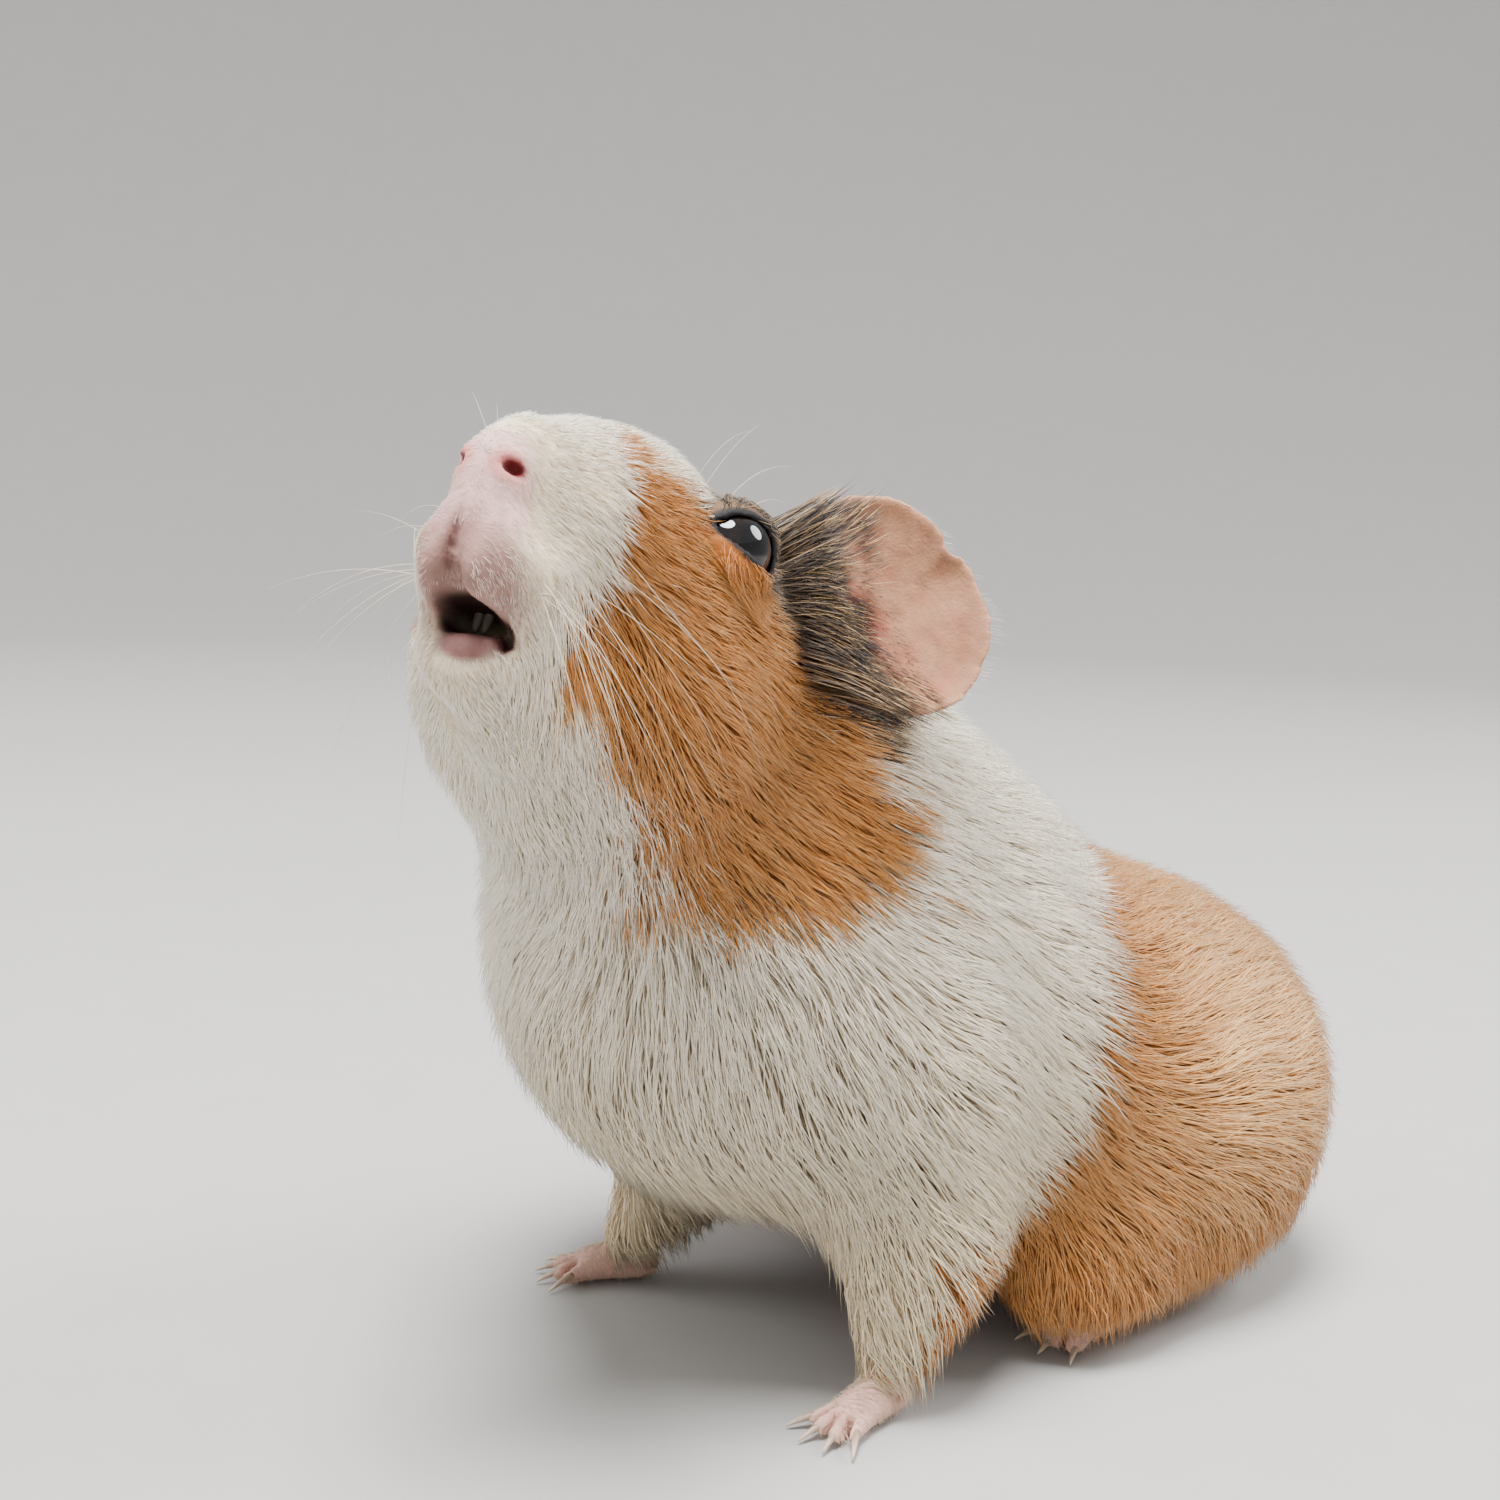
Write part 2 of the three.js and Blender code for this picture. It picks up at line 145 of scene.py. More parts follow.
def mix(a, b, t):
    return a + (b - a) * t


def turn(axis, degrees):
    """The 3 by 3 matrix of a turn about one axis."""
    return np.array(Matrix.Rotation(np.radians(degrees), 3, axis))


def ripple(points, size, seed):
    """A smooth, wandering value between about -1 and 1 that changes over a distance of about size."""
    waves = np.random.default_rng(seed)
    total = 0
    for _ in range(5):
        way = unit(waves.normal(size=3)) * waves.uniform(0.7, 1.6) / size
        total = total + np.sin(points @ way * 2 * np.pi / 2.2 + waves.uniform(0, 6.28))
    return total / 3.2


def oval_reach(points, middle, radii):
    """How far out from the middle of a solid oval each point is: 1 is on its surface."""
    return np.linalg.norm((points - np.array(middle)) / radii, axis=-1)


def nearest(choices, places):
    """Which of the choices is nearest to each place."""
    tree = KDTree(len(choices))
    for i, choice in enumerate(choices):
        tree.insert(choice, i)
    tree.balance()
    return [tree.find(place)[1] for place in places]


def linear(red, green, blue):
    """A colour given as 0 to 255 on a screen, as the light it reflects."""
    c = np.array([red, green, blue]) / 255
    return np.where(c <= 0.04045, c / 12.92, ((c + 0.055) / 1.055) ** 2.4)


# ---- Colours ----
# Each coat colour has a darker, warmer root colour: partly the coat's own tone near the skin, partly
# painted shade deep in the coat.
WHITE, WHITE_ROOT = linear(252, 247, 234), linear(240, 222, 192)
# The white coat's colours low on the body, creamier and darker: painted shade on the underside.
SHADED_CREAM, SHADED_CREAM_ROOT = linear(243, 230, 198), linear(216, 190, 150)
GINGER, GINGER_PALE, GINGER_ROOT = linear(212, 144, 62), linear(238, 196, 134), linear(164, 96, 36)
BLACK, BROWN, STRAW = linear(40, 34, 31), linear(104, 80, 60), linear(196, 160, 116)
# The lips' pink is their own colour, darkened by painted shade under the nose.
NOSE_PINK, HALO_PINK, LIP_PINK_AND_SHADE = linear(206, 166, 160), linear(200, 118, 110), linear(132, 92, 88)
# Painted shade: the nostrils' red lining darkened inside them, the dark creases of the lip and of the
# mouth's corner, and the dark inside of the mouth.
NOSTRIL_RED_AND_SHADE, CREASE_SHADE, MOUTH_SHADE = linear(96, 18, 20), linear(84, 52, 48), linear(34, 16, 13)
# The teeth's colour is their ivory, dimmed by painted shade inside the mouth.
LID_GREY, SHADED_TOOTH, WHISKER_TINT = linear(20, 18, 20), linear(112, 102, 90), linear(214, 198, 174)
# Of the ear's colours, the deep red round its root is partly its own colour, partly painted shade in the
# hollow of the cup.
EAR_PINK, EAR_BLUSH, EAR_DEEP_RED_AND_SHADE = linear(154, 110, 82), linear(136, 74, 54), linear(104, 40, 32)
# A painted band of light along each ear's rim.
EAR_RIM_PAINTED_LIGHT, EAR_VEIN = linear(178, 130, 100), linear(100, 48, 56)
FOOT_PINK, CLAW_ROOT, CLAW_TIP = linear(206, 164, 150), linear(150, 118, 100), linear(200, 182, 160)
EYE_BLACK, EYE_BROWN = linear(6, 6, 8), linear(22, 14, 12)


# ---- The head's frame, from the eyes' places ----
def box_middle(node):
    """The middle of a CAD node, in millimetres."""
    low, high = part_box(node)
    return np.array((low + high) / 2) / MM


HEAD = turn("Z", HEAD_TURN) @ turn("X", -HEAD_RAISE) @ turn("Y", HEAD_LEAN)
BETWEEN_EYES = (box_middle("eye_left") + box_middle("eye_right")) / 2
NOSE = BETWEEN_EYES - HEAD @ (EYE_IN_HEAD * (0, 1, 1))


def to_head(points):
    return (points - NOSE) @ HEAD


def from_head(points):
    return NOSE + np.asarray(points, float) @ HEAD.T


def mirrored(head_points):
    """The same places, with those of the right side brought over to the left."""
    return np.abs(head_points * (1, 0, 0)) + head_points * (0, 1, 1)


# The eye's own axes, in the head's frame, for the left side: out along the gaze, along the lids, across.
GAZE = unit([0.82, -0.54, 0.14])
ALONG_LIDS = unit(np.cross(np.cross(GAZE, [0.62, 0.76, -0.26]), GAZE))
ACROSS_LIDS = np.cross(GAZE, ALONG_LIDS)


def lid_measure(head_points):
    """How far each point is from the eye's middle, its place between the lids, and how far past their rim.

    The place between the lids is 0 in the middle of their opening and 1 on its rim.
    """
    p = mirrored(head_points) - EYE_IN_HEAD
    far = np.maximum(np.linalg.norm(p, axis=-1), 1e-6)
    along, across = p @ ALONG_LIDS / far, p @ ACROSS_LIDS / far + 0.12
    length, height, depth = EYE_OPENING
    opening = np.hypot(along / length, across / np.where(across > 0, height, depth))
    opening = np.where(p @ GAZE > 0, opening, 3.0)
    return far, opening, EYE_RADIUS * np.hypot(along, across) * (1 - 1 / np.maximum(opening, 0.1))


# ---- Forms, as signed distances on a grid ----
class Field:
    """Signed distances on an even grid: below zero inside the form."""

    def __init__(self, values, low, step):
        self.values = values.astype(np.float32)
        self.low, self.step = np.asarray(low, float), step

    def axes(self):
        return [self.low[k] + self.step * np.arange(n) for k, n in enumerate(self.values.shape)]

    def places(self):
        """The grid's places along each axis, shaped so that they combine into the whole grid."""
        return np.meshgrid(*self.axes(), indexing="ij", sparse=True)

    def at(self, points):
        """The distance at each point, read between the corners of its cell."""
        size = np.array(self.values.shape)
        g = np.clip((points - self.low) / self.step, 0, size - 1.001)
        corner = g.astype(np.int64)
        f = g - corner
        flat = self.values.ravel()
        base = (corner[:, 0] * size[1] + corner[:, 1]) * size[2] + corner[:, 2]
        total = np.zeros(len(points))
        for step in np.ndindex(2, 2, 2):
            weight = np.prod(np.where(step, f, 1 - f), axis=1)
            total += weight * flat[base + (step[0] * size[1] + step[1]) * size[2] + step[2]]
        return total

    def outward(self, points):
        """The way straight out of the form at each point."""
        reach = 1.5 * self.step
        slope = [self.at(points + reach * way) - self.at(points - reach * way) for way in np.eye(3)]
        return unit(np.stack(slope, axis=1))

    def on_axes(self, axes):
        """The distances on another grid, given by its places along each axis."""
        values = self.values
        for k, places in enumerate(axes):
            g = np.clip((places - self.low[k]) / self.step, 0, self.values.shape[k] - 1.001)
            i = g.astype(int)
            f = (g - i).astype(np.float32).reshape([-1 if a == k else 1 for a in range(3)])
            values = np.take(values, i, axis=k) * (1 - f) + np.take(values, i + 1, axis=k) * f
        return values


def blurred(values, sigma):
    """Values smoothed over sigma cells in every direction."""
    reach = int(np.ceil(2.5 * sigma))
    weights = np.exp(-0.5 * (np.arange(-reach, reach + 1) / sigma) ** 2)
    weights = (weights / weights.sum()).astype(np.float32)
    for axis in range(3):
        ends = [(reach, reach) if a == axis else (0, 0) for a in range(3)]
        padded = np.pad(values, ends, mode="edge")
        size = values.shape[axis]
        values = sum(w * padded.take(range(i, i + size), axis) for i, w in enumerate(weights))
    return values


def joined(a, b, k):
    """Both forms as one, with a fillet of about k between them."""
    h = np.maximum(k - np.abs(a - b), 0) / k
    return np.minimum(a, b) - h * h * k / 4


def cut(a, b, k):
    """The first form with the second cut away, with an edge rounded by about k."""
    return -joined(-a, b, k)


def ellipsoid(h, middle, radii):
    """About how far each place is outside an ellipsoid."""
    q = [(h[i] - middle[i]) / radii[i] for i in range(3)]
    k0 = np.sqrt(q[0] ** 2 + q[1] ** 2 + q[2] ** 2)
    k1 = np.sqrt(sum((q[i] / radii[i]) ** 2 for i in range(3)))
    return k0 * (k0 - 1) / np.maximum(k1, 1e-6)


def rows_of(items, attribute, kind, width):
    """One attribute of all the items of a mesh, a row for each."""
    values = np.zeros(width * len(items), kind)
    items.foreach_get(attribute, values)
    return values.reshape(-1, width)


def mesh_arrays(names):
    """All the points and triangles of some CAD nodes, in millimetres."""
    points, triangles, count = [], [], 0
    for name in names:
        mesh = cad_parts[name].data
        mesh.calc_loop_triangles()
        points.append(rows_of(mesh.vertices, "co", np.float32, 3) / MM)
        triangles.append(rows_of(mesh.loop_triangles, "vertices", np.int32, 3) + count)
        count += len(mesh.vertices)
    return np.concatenate(points).astype(np.float32), np.concatenate(triangles).astype(np.uint32)


FLESH = [n for n in sorted(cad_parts) if not n.startswith(("eye", "ear"))]
EAR_NODES = [n for n in sorted(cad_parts) if n.startswith("ear")]


def coat_surface():
    """The form out to the tips of the coat, without the ears, with the cuts between the solids closed."""
    grid_of = vdb.FloatGrid.createLevelSetFromPolygons
    scale = vdb.createLinearTransform(voxelSize=BODY_CELL)
    points, triangles = mesh_arrays(FLESH + ["eye_left", "eye_right"])
    grid = grid_of(points, triangles=triangles, transform=scale, halfWidth=3.0)
    points, triangles, quads = grid.convertToPolygons(isovalue=CUT_GAP)
    grid = grid_of(points, triangles=triangles, quads=quads, transform=scale, halfWidth=DEEPEST / BODY_CELL)
    margin = 6
    low = np.floor(points.min(0) / BODY_CELL).astype(int) - margin
    high = np.ceil(points.max(0) / BODY_CELL).astype(int) + margin
    values = np.full(tuple(high - low), grid.background, np.float32)
    grid.copyToArray(values, ijk=tuple(int(i) for i in low))
    whole = Field(values + CUT_GAP, low * BODY_CELL, BODY_CELL)
    x, y, z = whole.places()
    far_back = to_head_axis(x, y, z, 1)
    soft, crisp = blurred(whole.values, 3.0), blurred(whole.values, 1.0)
    body = rise(far_back, 45, 85) * rise(z, 8, 22)
    whole.values = mix(crisp, soft, body.astype(np.float32)).astype(np.float32)
    pinch(whole)
    return whole


def pinch(form):
    """Draws the form in beside the nose, and lets it out at the lips, the bridge and the right cheek."""
    h = [to_head_axis(*form.places(), k) for k in range(3)]
    near = (h[1] < 60) & (h[2] > -40)
    own = np.stack([side[near] for side in h], axis=1)
    bridge = oval_reach(own, (0, 23, 15), (9, 13, 8))
    cheek = oval_reach(own, (-22, 40, -14), (10, 16, 16))
    let_out = 0.8 * fall(bridge, 0, 1) + 1.6 * fall(cheek, 0, 1.2)
    nose = fall(own[:, 1], 6, 20) * rise(own[:, 2], -10, -1) * fall(own[:, 2], 6, 13)
    lips = fall(own[:, 1], 8, 25) * fall(own[:, 2], -17, -11)
    own[:, 0] *= 1 + NOSE_PINCH * nose - LIP_SPREAD * lips
    form.values[near] = form.at(from_head(own)) - let_out


def to_head_axis(x, y, z, axis):
    """One coordinate in the head's frame, for places that combine into a grid."""
    way = HEAD[:, axis]
    return (x - NOSE[0]) * way[0] + (y - NOSE[1]) * way[1] + (z - NOSE[2]) * way[2]


def coat_depth(far_back, z):
    """How deep the skin lies under the coat's tips, from the place along the head and the height."""
    depth = 0.25 + 1.0 * rise(far_back, 3, 16) + 1.4 * rise(far_back, 22, 48) + 4.2 * rise(far_back, 50, 78)
    return mix(0.4, depth, rise(z, 8, 46))


# ---- The skin ----
def graded_axis(low, high, cells):
    """Places from low to high: each cell's size applies in its own stretch, and the widest elsewhere."""
    places = [low]
    while places[-1] < high:
        here = [size for size, start, end in cells if start <= places[-1] < end]
        places.append(places[-1] + min(here, default=WIDE_CELL))
    return np.array(places)


# The small forms of the face, in the order they are made: how, on both sides or not, the middle, the radii
# and the fillet.
FACE_FORMS = {
    "rim of the nostril": (joined, True, (2.3, 4.6, -0.2), (1.7, 3.0, 2.4), 2.2),
    "upper lip": (joined, True, (2.5, 4.6, -11.6), (2.2, 5.4, 4.8), 2.4),
    "cleft of the lip": (cut, False, (-0.8, -0.4, -12.2), (0.35, 2.1, 7.0), 0.9),
    "gap at the teeth": (cut, False, (-0.2, 1.5, -16.4), (1.9, 5.5, 3.8), 1.0),
    "nostril": (cut, True, (3.2, 2.4, -0.1), (1.2, 1.9, 0.75), 0.6),
    "slit of the nostril": (cut, True, (4.2, 3.4, 0.3), (1.0, 1.3, 0.4), 0.5),
    "mouth": (cut, False, (0.3, 7.5, -16.3), (3.5, 8.6, 2.0), 0.9),
    "corner of the mouth": (cut, False, (4.3, 9.4, -17.7), (0.6, 3.0, 1.6), 0.8),
    "lower lip": (joined, False, (0.7, 10.0, -19.7), (3.1, 4.0, 1.9), 1.2),
}


def sculpt_face(d, h):
    """The nose, lips, mouth and lids, added to the skin's distances d at the head-frame places h."""
    m = (np.abs(h[0]), h[1], h[2])
    for combine, both_sides, middle, radii, fillet in FACE_FORMS.values():
        d = combine(d, ellipsoid(m if both_sides else h, middle, radii), fillet)
    return sculpt_lids(d, np.stack(np.broadcast_arrays(*h), axis=-1))


def sculpt_lids(d, h):
    """A shell of skin over each eyeball, open between the lids."""
    far, opening, _ = lid_measure(h)
    shell = np.abs(far - EYE_RADIUS - LID_THICKNESS / 2) - LID_THICKNESS / 2
    d = joined(d, shell, 1.6)
    d = cut(d, far - EYE_RADIUS, 0.3)
    return cut(d, np.maximum((opening - 1) * 0.6 * EYE_RADIUS, far - EYE_RADIUS - 4), 0.7)


def sculpt_paws(d, x, y, z):
    """Grooves between the toes of every paw."""
    for heel, heading, ball_at, toes, reach in FEET.values():
        way = turn("Z", heading)
        across = (x - heel[0]) * way[0, 0] + (y - heel[1]) * way[1, 0]
        ahead = -(x - heel[0]) * way[0, 1] - (y - heel[1]) * way[1, 1] - ball_at
        for angle in np.radians((np.array(toes[1:]) + toes[:-1]) / 2):
            off = across * np.cos(angle) - ahead * np.sin(angle)
            out = across * np.sin(angle) + ahead * np.cos(angle)
            d = cut(d, ellipsoid((off, out, z), (0, reach, 3.5), (0.55, 0.55 * reach, 4.5)), 0.6)
    return d


def ear_axes(side):
    """An ear's middle, and the ways out to its rim, up along its base, and along its cup's axis."""
    middle, outward, upward = (np.array(vector, float) for vector in EARS[side])
    x_axis = unit(outward)
    y_axis = unit(upward - x_axis * (upward @ x_axis))
    return middle, (x_axis, y_axis, np.cross(x_axis, y_axis))


def ear_place(h, side):
    """Places of the head's frame as places along the axes of an ear."""
    middle, axes = ear_axes(side)
    q = (side * h[0] - middle[0], h[1] - middle[1], h[2] - middle[2])
    return [q[0] * w[0] + q[1] * w[1] + q[2] * w[2] for w in axes]


def ear_reach(angle):
    """How far the rim is from the ear's middle at each angle in degrees."""
    notch, depth, width = EAR_NOTCH
    wavy = 0.1 * np.sin(np.radians(9 * angle)) + 1.2 * rise(angle, 78, 104)
    return EAR_RADIUS + wavy - depth * np.exp(-(((angle - notch) / width) ** 2))


def above_base(u, v):
    """How far out from the line of the ear's base each place in its plane is."""
    return EAR_BASE[0] * u + EAR_BASE[1] * v - BASE_AT


def ear_sheet(u, v):
    """The height of the ear's middle surface over its plane, and how far out to the rim each place is."""
    r = np.hypot(u, v)
    angle = np.degrees(np.arctan2(v, u))
    reach = ear_reach(angle)
    t = r / reach
    folds = 0.45 * np.sin(np.radians(5 * angle + 40)) * rise(t, 0.35, 0.8)
    return EAR_CUP * np.minimum(t, 1.1) ** 2 + folds + 0.5 * rise(t, 0.84, 1.0), t, reach - r


def ear_distance(h, side):
    """How far each place is outside an ear: a cupped leaf with a thick root and a hollow above it."""
    u, v, w = ear_place(h, side)
    sheet, t, to_rim = ear_sheet(u, v)
    steep = np.sqrt(1 + (2 * EAR_CUP * t / EAR_RADIUS) ** 2)
    half = EAR_THICKNESS / 2 * (1 - 0.2 * np.minimum(t, 1.2) ** 4) + 0.9 * np.exp(-((t / 0.5) ** 2))
    leaf = -joined(-(np.abs(w - sheet) / steep - half), to_rim, 0.8)
    leaf = -joined(-leaf, above_base(u, v), 1.5)
    leaf = joined(leaf, ellipsoid((u, v, w), (-4, -1, -3.5), (5, 5.5, 4.0)), 3.0)
    return cut(leaf, ellipsoid((u, v, w), (-3, -3.0, 2.4), (2.4, 4, 3)), 1.5)


def head_part(axes):
    """The part of a grid that holds the head: its slices, its places, and those in the head's frame."""
    part = tuple(slice(int((places >= edge).argmax()), None) for places, edge in zip(axes, HEAD_CORNER))
    places = np.meshgrid(*(a[p] for a, p in zip(axes, part)), indexing="ij", sparse=True)
    return part, places, [to_head_axis(*places, k).astype(np.float32) for k in range(3)]


def over_face(coat):
    """The coat's form, let out where the lips and lids stand proud of it."""
    part, places, h = head_part(coat.axes())
    bare_skin = sculpt_face(coat.values[part] + coat_depth(h[1], places[2]), h)
    values = coat.values.copy()
    values[part] = np.minimum(values[part], bare_skin - 0.25)
    return Field(values, coat.low, coat.step)


def smoothed(points, quads, share, rounds):
    """The points drawn towards the middle of their neighbours, each by its own share of the way."""
    count = len(points)
    ends = np.concatenate([quads[:, [k, (k + 1) % 4]] for k in range(4)])
    ends = np.concatenate([ends, ends[:, ::-1]])
    for _ in range(rounds):
        sums = [np.bincount(ends[:, 0], points[ends[:, 1], k], count) for k in range(3)]
        middles = np.stack(sums, axis=1) / np.maximum(np.bincount(ends[:, 0], minlength=count), 1)[:, None]
        points = mix(points, middles, share[:, None])
    return points


def skin_mesh(coat):
    """The one skin, as points and faces: the coat's form drawn in by its depth, with the face and ears."""
    x, y, z = coat.places()
    inner = Field(coat.values + coat_depth(to_head_axis(x, y, z, 1), z), coat.low, coat.step)
    low, high = coat.low, coat.low + coat.step * (np.array(coat.values.shape) - 1)
    axes = [graded_axis(low[k], high[k] + 2, FINE_STRETCHES[k]) for k in range(3)]
    values = inner.on_axes(axes)
    paws = int((axes[2] > PAWS_TOP).argmax())
    places = np.meshgrid(*axes[:2], axes[2][:paws], indexing="ij")
    values[:, :, :paws] = sculpt_paws(values[:, :, :paws], *places)
    part, _, h = head_part(axes)
    d = sculpt_face(values[part], h)
    for side in EARS:
        d = joined(d, ear_distance(h, side), 2.4)
    values[part] = d
    grid = vdb.FloatGrid(3.0)
    grid.copyFromArray(np.clip(values, -3, 3).astype(np.float32))
    points, _, quads = grid.convertToPolygons(isovalue=0.0)
    points = np.stack([np.interp(g, np.arange(len(axis)), axis) for g, axis in zip(points.T, axes)], axis=1)
    return smoothed(points, quads, 0.6 * rise(coat.at(points), 0.3, 1.5), 3), quads[:, ::-1]


def add_object(name, data):
    """A new object of the scene that holds the data."""
    item = bpy.data.objects.new(name, data)
    bpy.context.scene.collection.objects.link(item)
    return item


def new_object(name, points, faces):
    """A mesh object from points in millimetres and faces of equal size."""
    mesh = bpy.data.meshes.new(name)
    faces = np.asarray(faces)
    size = faces.shape[1]
    mesh.vertices.add(len(points))
    mesh.vertices.foreach_set("co", (np.asarray(points, float) * MM).astype(np.float32).ravel())
    mesh.loops.add(faces.size)
    mesh.loops.foreach_set("vertex_index", faces.astype(np.int32).ravel())
    mesh.polygons.add(len(faces))
    mesh.polygons.foreach_set("loop_start", np.arange(0, faces.size, size, dtype=np.int32))
    mesh.update(calc_edges=True)
    mesh.polygons.foreach_set("use_smooth", np.full(len(faces), True))
    return add_object(name, mesh)


def paint(piece, colours):
    """Writes one colour for each point, which the piece's material reads."""
    rgba = np.ones((len(colours), 4), np.float32)
    rgba[:, :3] = colours
    layer = piece.data.attributes.new("tint", "FLOAT_COLOR", "POINT")
    layer.data.foreach_set("color", rgba.ravel())


def finish_piece(piece, material, slot, *nodes):
    """Gives a piece its material, hangs it under the root, and hides the CAD nodes that it stands for; the
    slot is not used.
    """
    piece.data.materials.append(material)
    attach(piece, "root")
    if nodes:
        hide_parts(*nodes)
    return piece


# ---- Stage ----
def make_camera():
    """The photograph's camera, turned by the azimuth, down by the pitch and then by the roll."""
    azimuth, pitch, roll = np.radians([CAMERA_AZIMUTH, CAMERA_PITCH, CAMERA_ROLL])
    forward = np.array([-np.sin(azimuth) * np.cos(pitch), np.cos(azimuth) * np.cos(pitch), -np.sin(pitch)])
    level = np.array([np.cos(azimuth), np.sin(azimuth), 0])
    upright = np.cross(level, forward)
    right = np.cos(roll) * level + np.sin(roll) * upright
    up = np.cos(roll) * upright - np.sin(roll) * level
    data = bpy.data.cameras.new("camera")
    data.sensor_fit, data.sensor_width, data.lens = "HORIZONTAL", CAMERA_SENSOR, CAMERA_LENS
    data.clip_start = 0.01
    camera = add_object("camera", data)
    turned = Matrix(np.stack([right, up, -forward], axis=1).tolist()).to_4x4()
    camera.matrix_world = Matrix.Translation(CAMERA_AT) @ turned
    bpy.context.scene.camera = camera


def make_lights():
    """Soft boxes round the animal, under a pale sky."""
    for name, place, size, power in LIGHTS:
        data = bpy.data.lights.new(name, "AREA")
        data.shape, data.size, data.energy = "DISK", size, power
        light = add_object(name, data)
        light.location = place
        light.rotation_euler = (Vector((0, 0, 0.07)) - Vector(place)).to_track_quat("-Z", "Y").to_euler()
    world = bpy.data.worlds.new("sky")
    world.use_nodes = True
    sky = world.node_tree.nodes["Background"]
    sky.inputs["Color"].default_value = (0.97, 0.98, 1.0, 1)
    sky.inputs["Strength"].default_value = SKY_STRENGTH
    bpy.context.scene.world = world


def make_floor():
    """A pale floor that sweeps up all round into a wall."""
    angles = np.radians(90 * np.arange(13) / 12)
    radii = FLOOR_RADIUS + FLOOR_SWEEP * np.sin(angles)
    heights = FLOOR_SWEEP * (1 - np.cos(angles))
    around = 96
    spins = np.linspace(0, 2 * np.pi, around, endpoint=False)
    points, faces = [(0, 0, 0)], [(0, 1 + i, 1 + (i + 1) % around) for i in range(around)]
    for ring, (r, z) in enumerate(zip(radii, heights)):
        points += [(r * np.cos(a), r * np.sin(a), z) for a in spins]
        for i in range(around if ring else 0):
            a, b = 1 + (ring - 1) * around + i, 1 + (ring - 1) * around + (i + 1) % around
            faces += [(a, a + around, b + around), (a, b + around, b)]
    floor = new_object("floor", np.array(points) / MM, faces)
    floor.data.materials.append(floor_material())


# ---- Materials ----
def shader(name, roughness, specular=0.5, sheen=0.0, coat=0.0, subsurface=0.0):
    """A new material, its nodes, links and main shader, with the values that are the same all over."""
    material = bpy.data.materials.new(name)
    material.use_nodes = True
    nodes, links = material.node_tree.nodes, material.node_tree.links
    main = nodes["Principled BSDF"]
    main.inputs["Roughness"].default_value = roughness
    main.inputs["Specular IOR Level"].default_value = specular
    main.inputs["Sheen Weight"].default_value = sheen
    main.inputs["Coat Weight"].default_value = coat
    main.inputs["Coat Roughness"].default_value = 0.02
    main.inputs["Subsurface Weight"].default_value = subsurface
    main.inputs["Subsurface Radius"].default_value = (1.0, 0.35, 0.2)
    main.inputs["Subsurface Scale"].default_value = 0.0015
    return material, nodes, links, main


def noise_node(nodes, links, scale, detail=3.0):
    """A noise in the piece's own places, as the output to link from."""
    place = nodes.new("ShaderNodeTexCoord")
    noise = nodes.new("ShaderNodeTexNoise")
    noise.inputs["Scale"].default_value = scale
    noise.inputs["Detail"].default_value = detail
    links.new(place.outputs["Object"], noise.inputs["Vector"])
    return noise.outputs["Fac"]


def tinted(nodes, links, main, noise, low, high):
    """The painted colour, made a little darker and lighter by the noise, as the shader's colour."""
    tint = nodes.new("ShaderNodeAttribute")
    tint.attribute_name = "tint"
    spread = nodes.new("ShaderNodeMapRange")
    spread.inputs["From Min"].default_value, spread.inputs["From Max"].default_value = 0.3, 0.7
    spread.inputs["To Min"].default_value, spread.inputs["To Max"].default_value = low, high
    links.new(noise, spread.inputs["Value"])
    scale = nodes.new("ShaderNodeVectorMath")
    scale.operation = "SCALE"
    links.new(tint.outputs["Color"], scale.inputs[0])
    links.new(spread.outputs["Result"], scale.inputs["Scale"])
    links.new(scale.outputs["Vector"], main.inputs["Base Color"])


def painted_material(name, roughness, scale, low, high, relief=0.0, **values):
    """A material that shows a piece's own paint, mottled, over a fine relief."""
    material, nodes, links, main = shader(name, roughness, **values)
    tinted(nodes, links, main, noise_node(nodes, links, scale), low, high)
    if relief:
        height = noise_node(nodes, links, 5 * scale, 4)
        bump = nodes.new("ShaderNodeBump")
        bump.inputs["Distance"].default_value = relief
        bump.inputs["Strength"].default_value = 0.6
        links.new(height, bump.inputs["Height"])
        links.new(bump.outputs["Normal"], main.inputs["Normal"])
    return material


def floor_material():
    material, nodes, links, main = shader("floor", 0.8, specular=0.2)
    ramp = nodes.new("ShaderNodeValToRGB")
    for element, colour in zip(ramp.color_ramp.elements, FLOOR_TINTS):
        element.color = colour
    links.new(noise_node(nodes, links, 60), ramp.inputs["Fac"])
    links.new(ramp.outputs["Color"], main.inputs["Base Color"])
    return material


# ---- Markings ----
def oval(a, b, middle, radii, tilt=0.0):
    """How far inside an oval each place is, in about millimetres: below zero is outside."""
    t = np.radians(tilt)
    u = (a - middle[0]) * np.cos(t) + (b - middle[1]) * np.sin(t)
    v = (b - middle[1]) * np.cos(t) - (a - middle[0]) * np.sin(t)
    return (1 - np.hypot(u / radii[0], v / radii[1])) * min(radii)


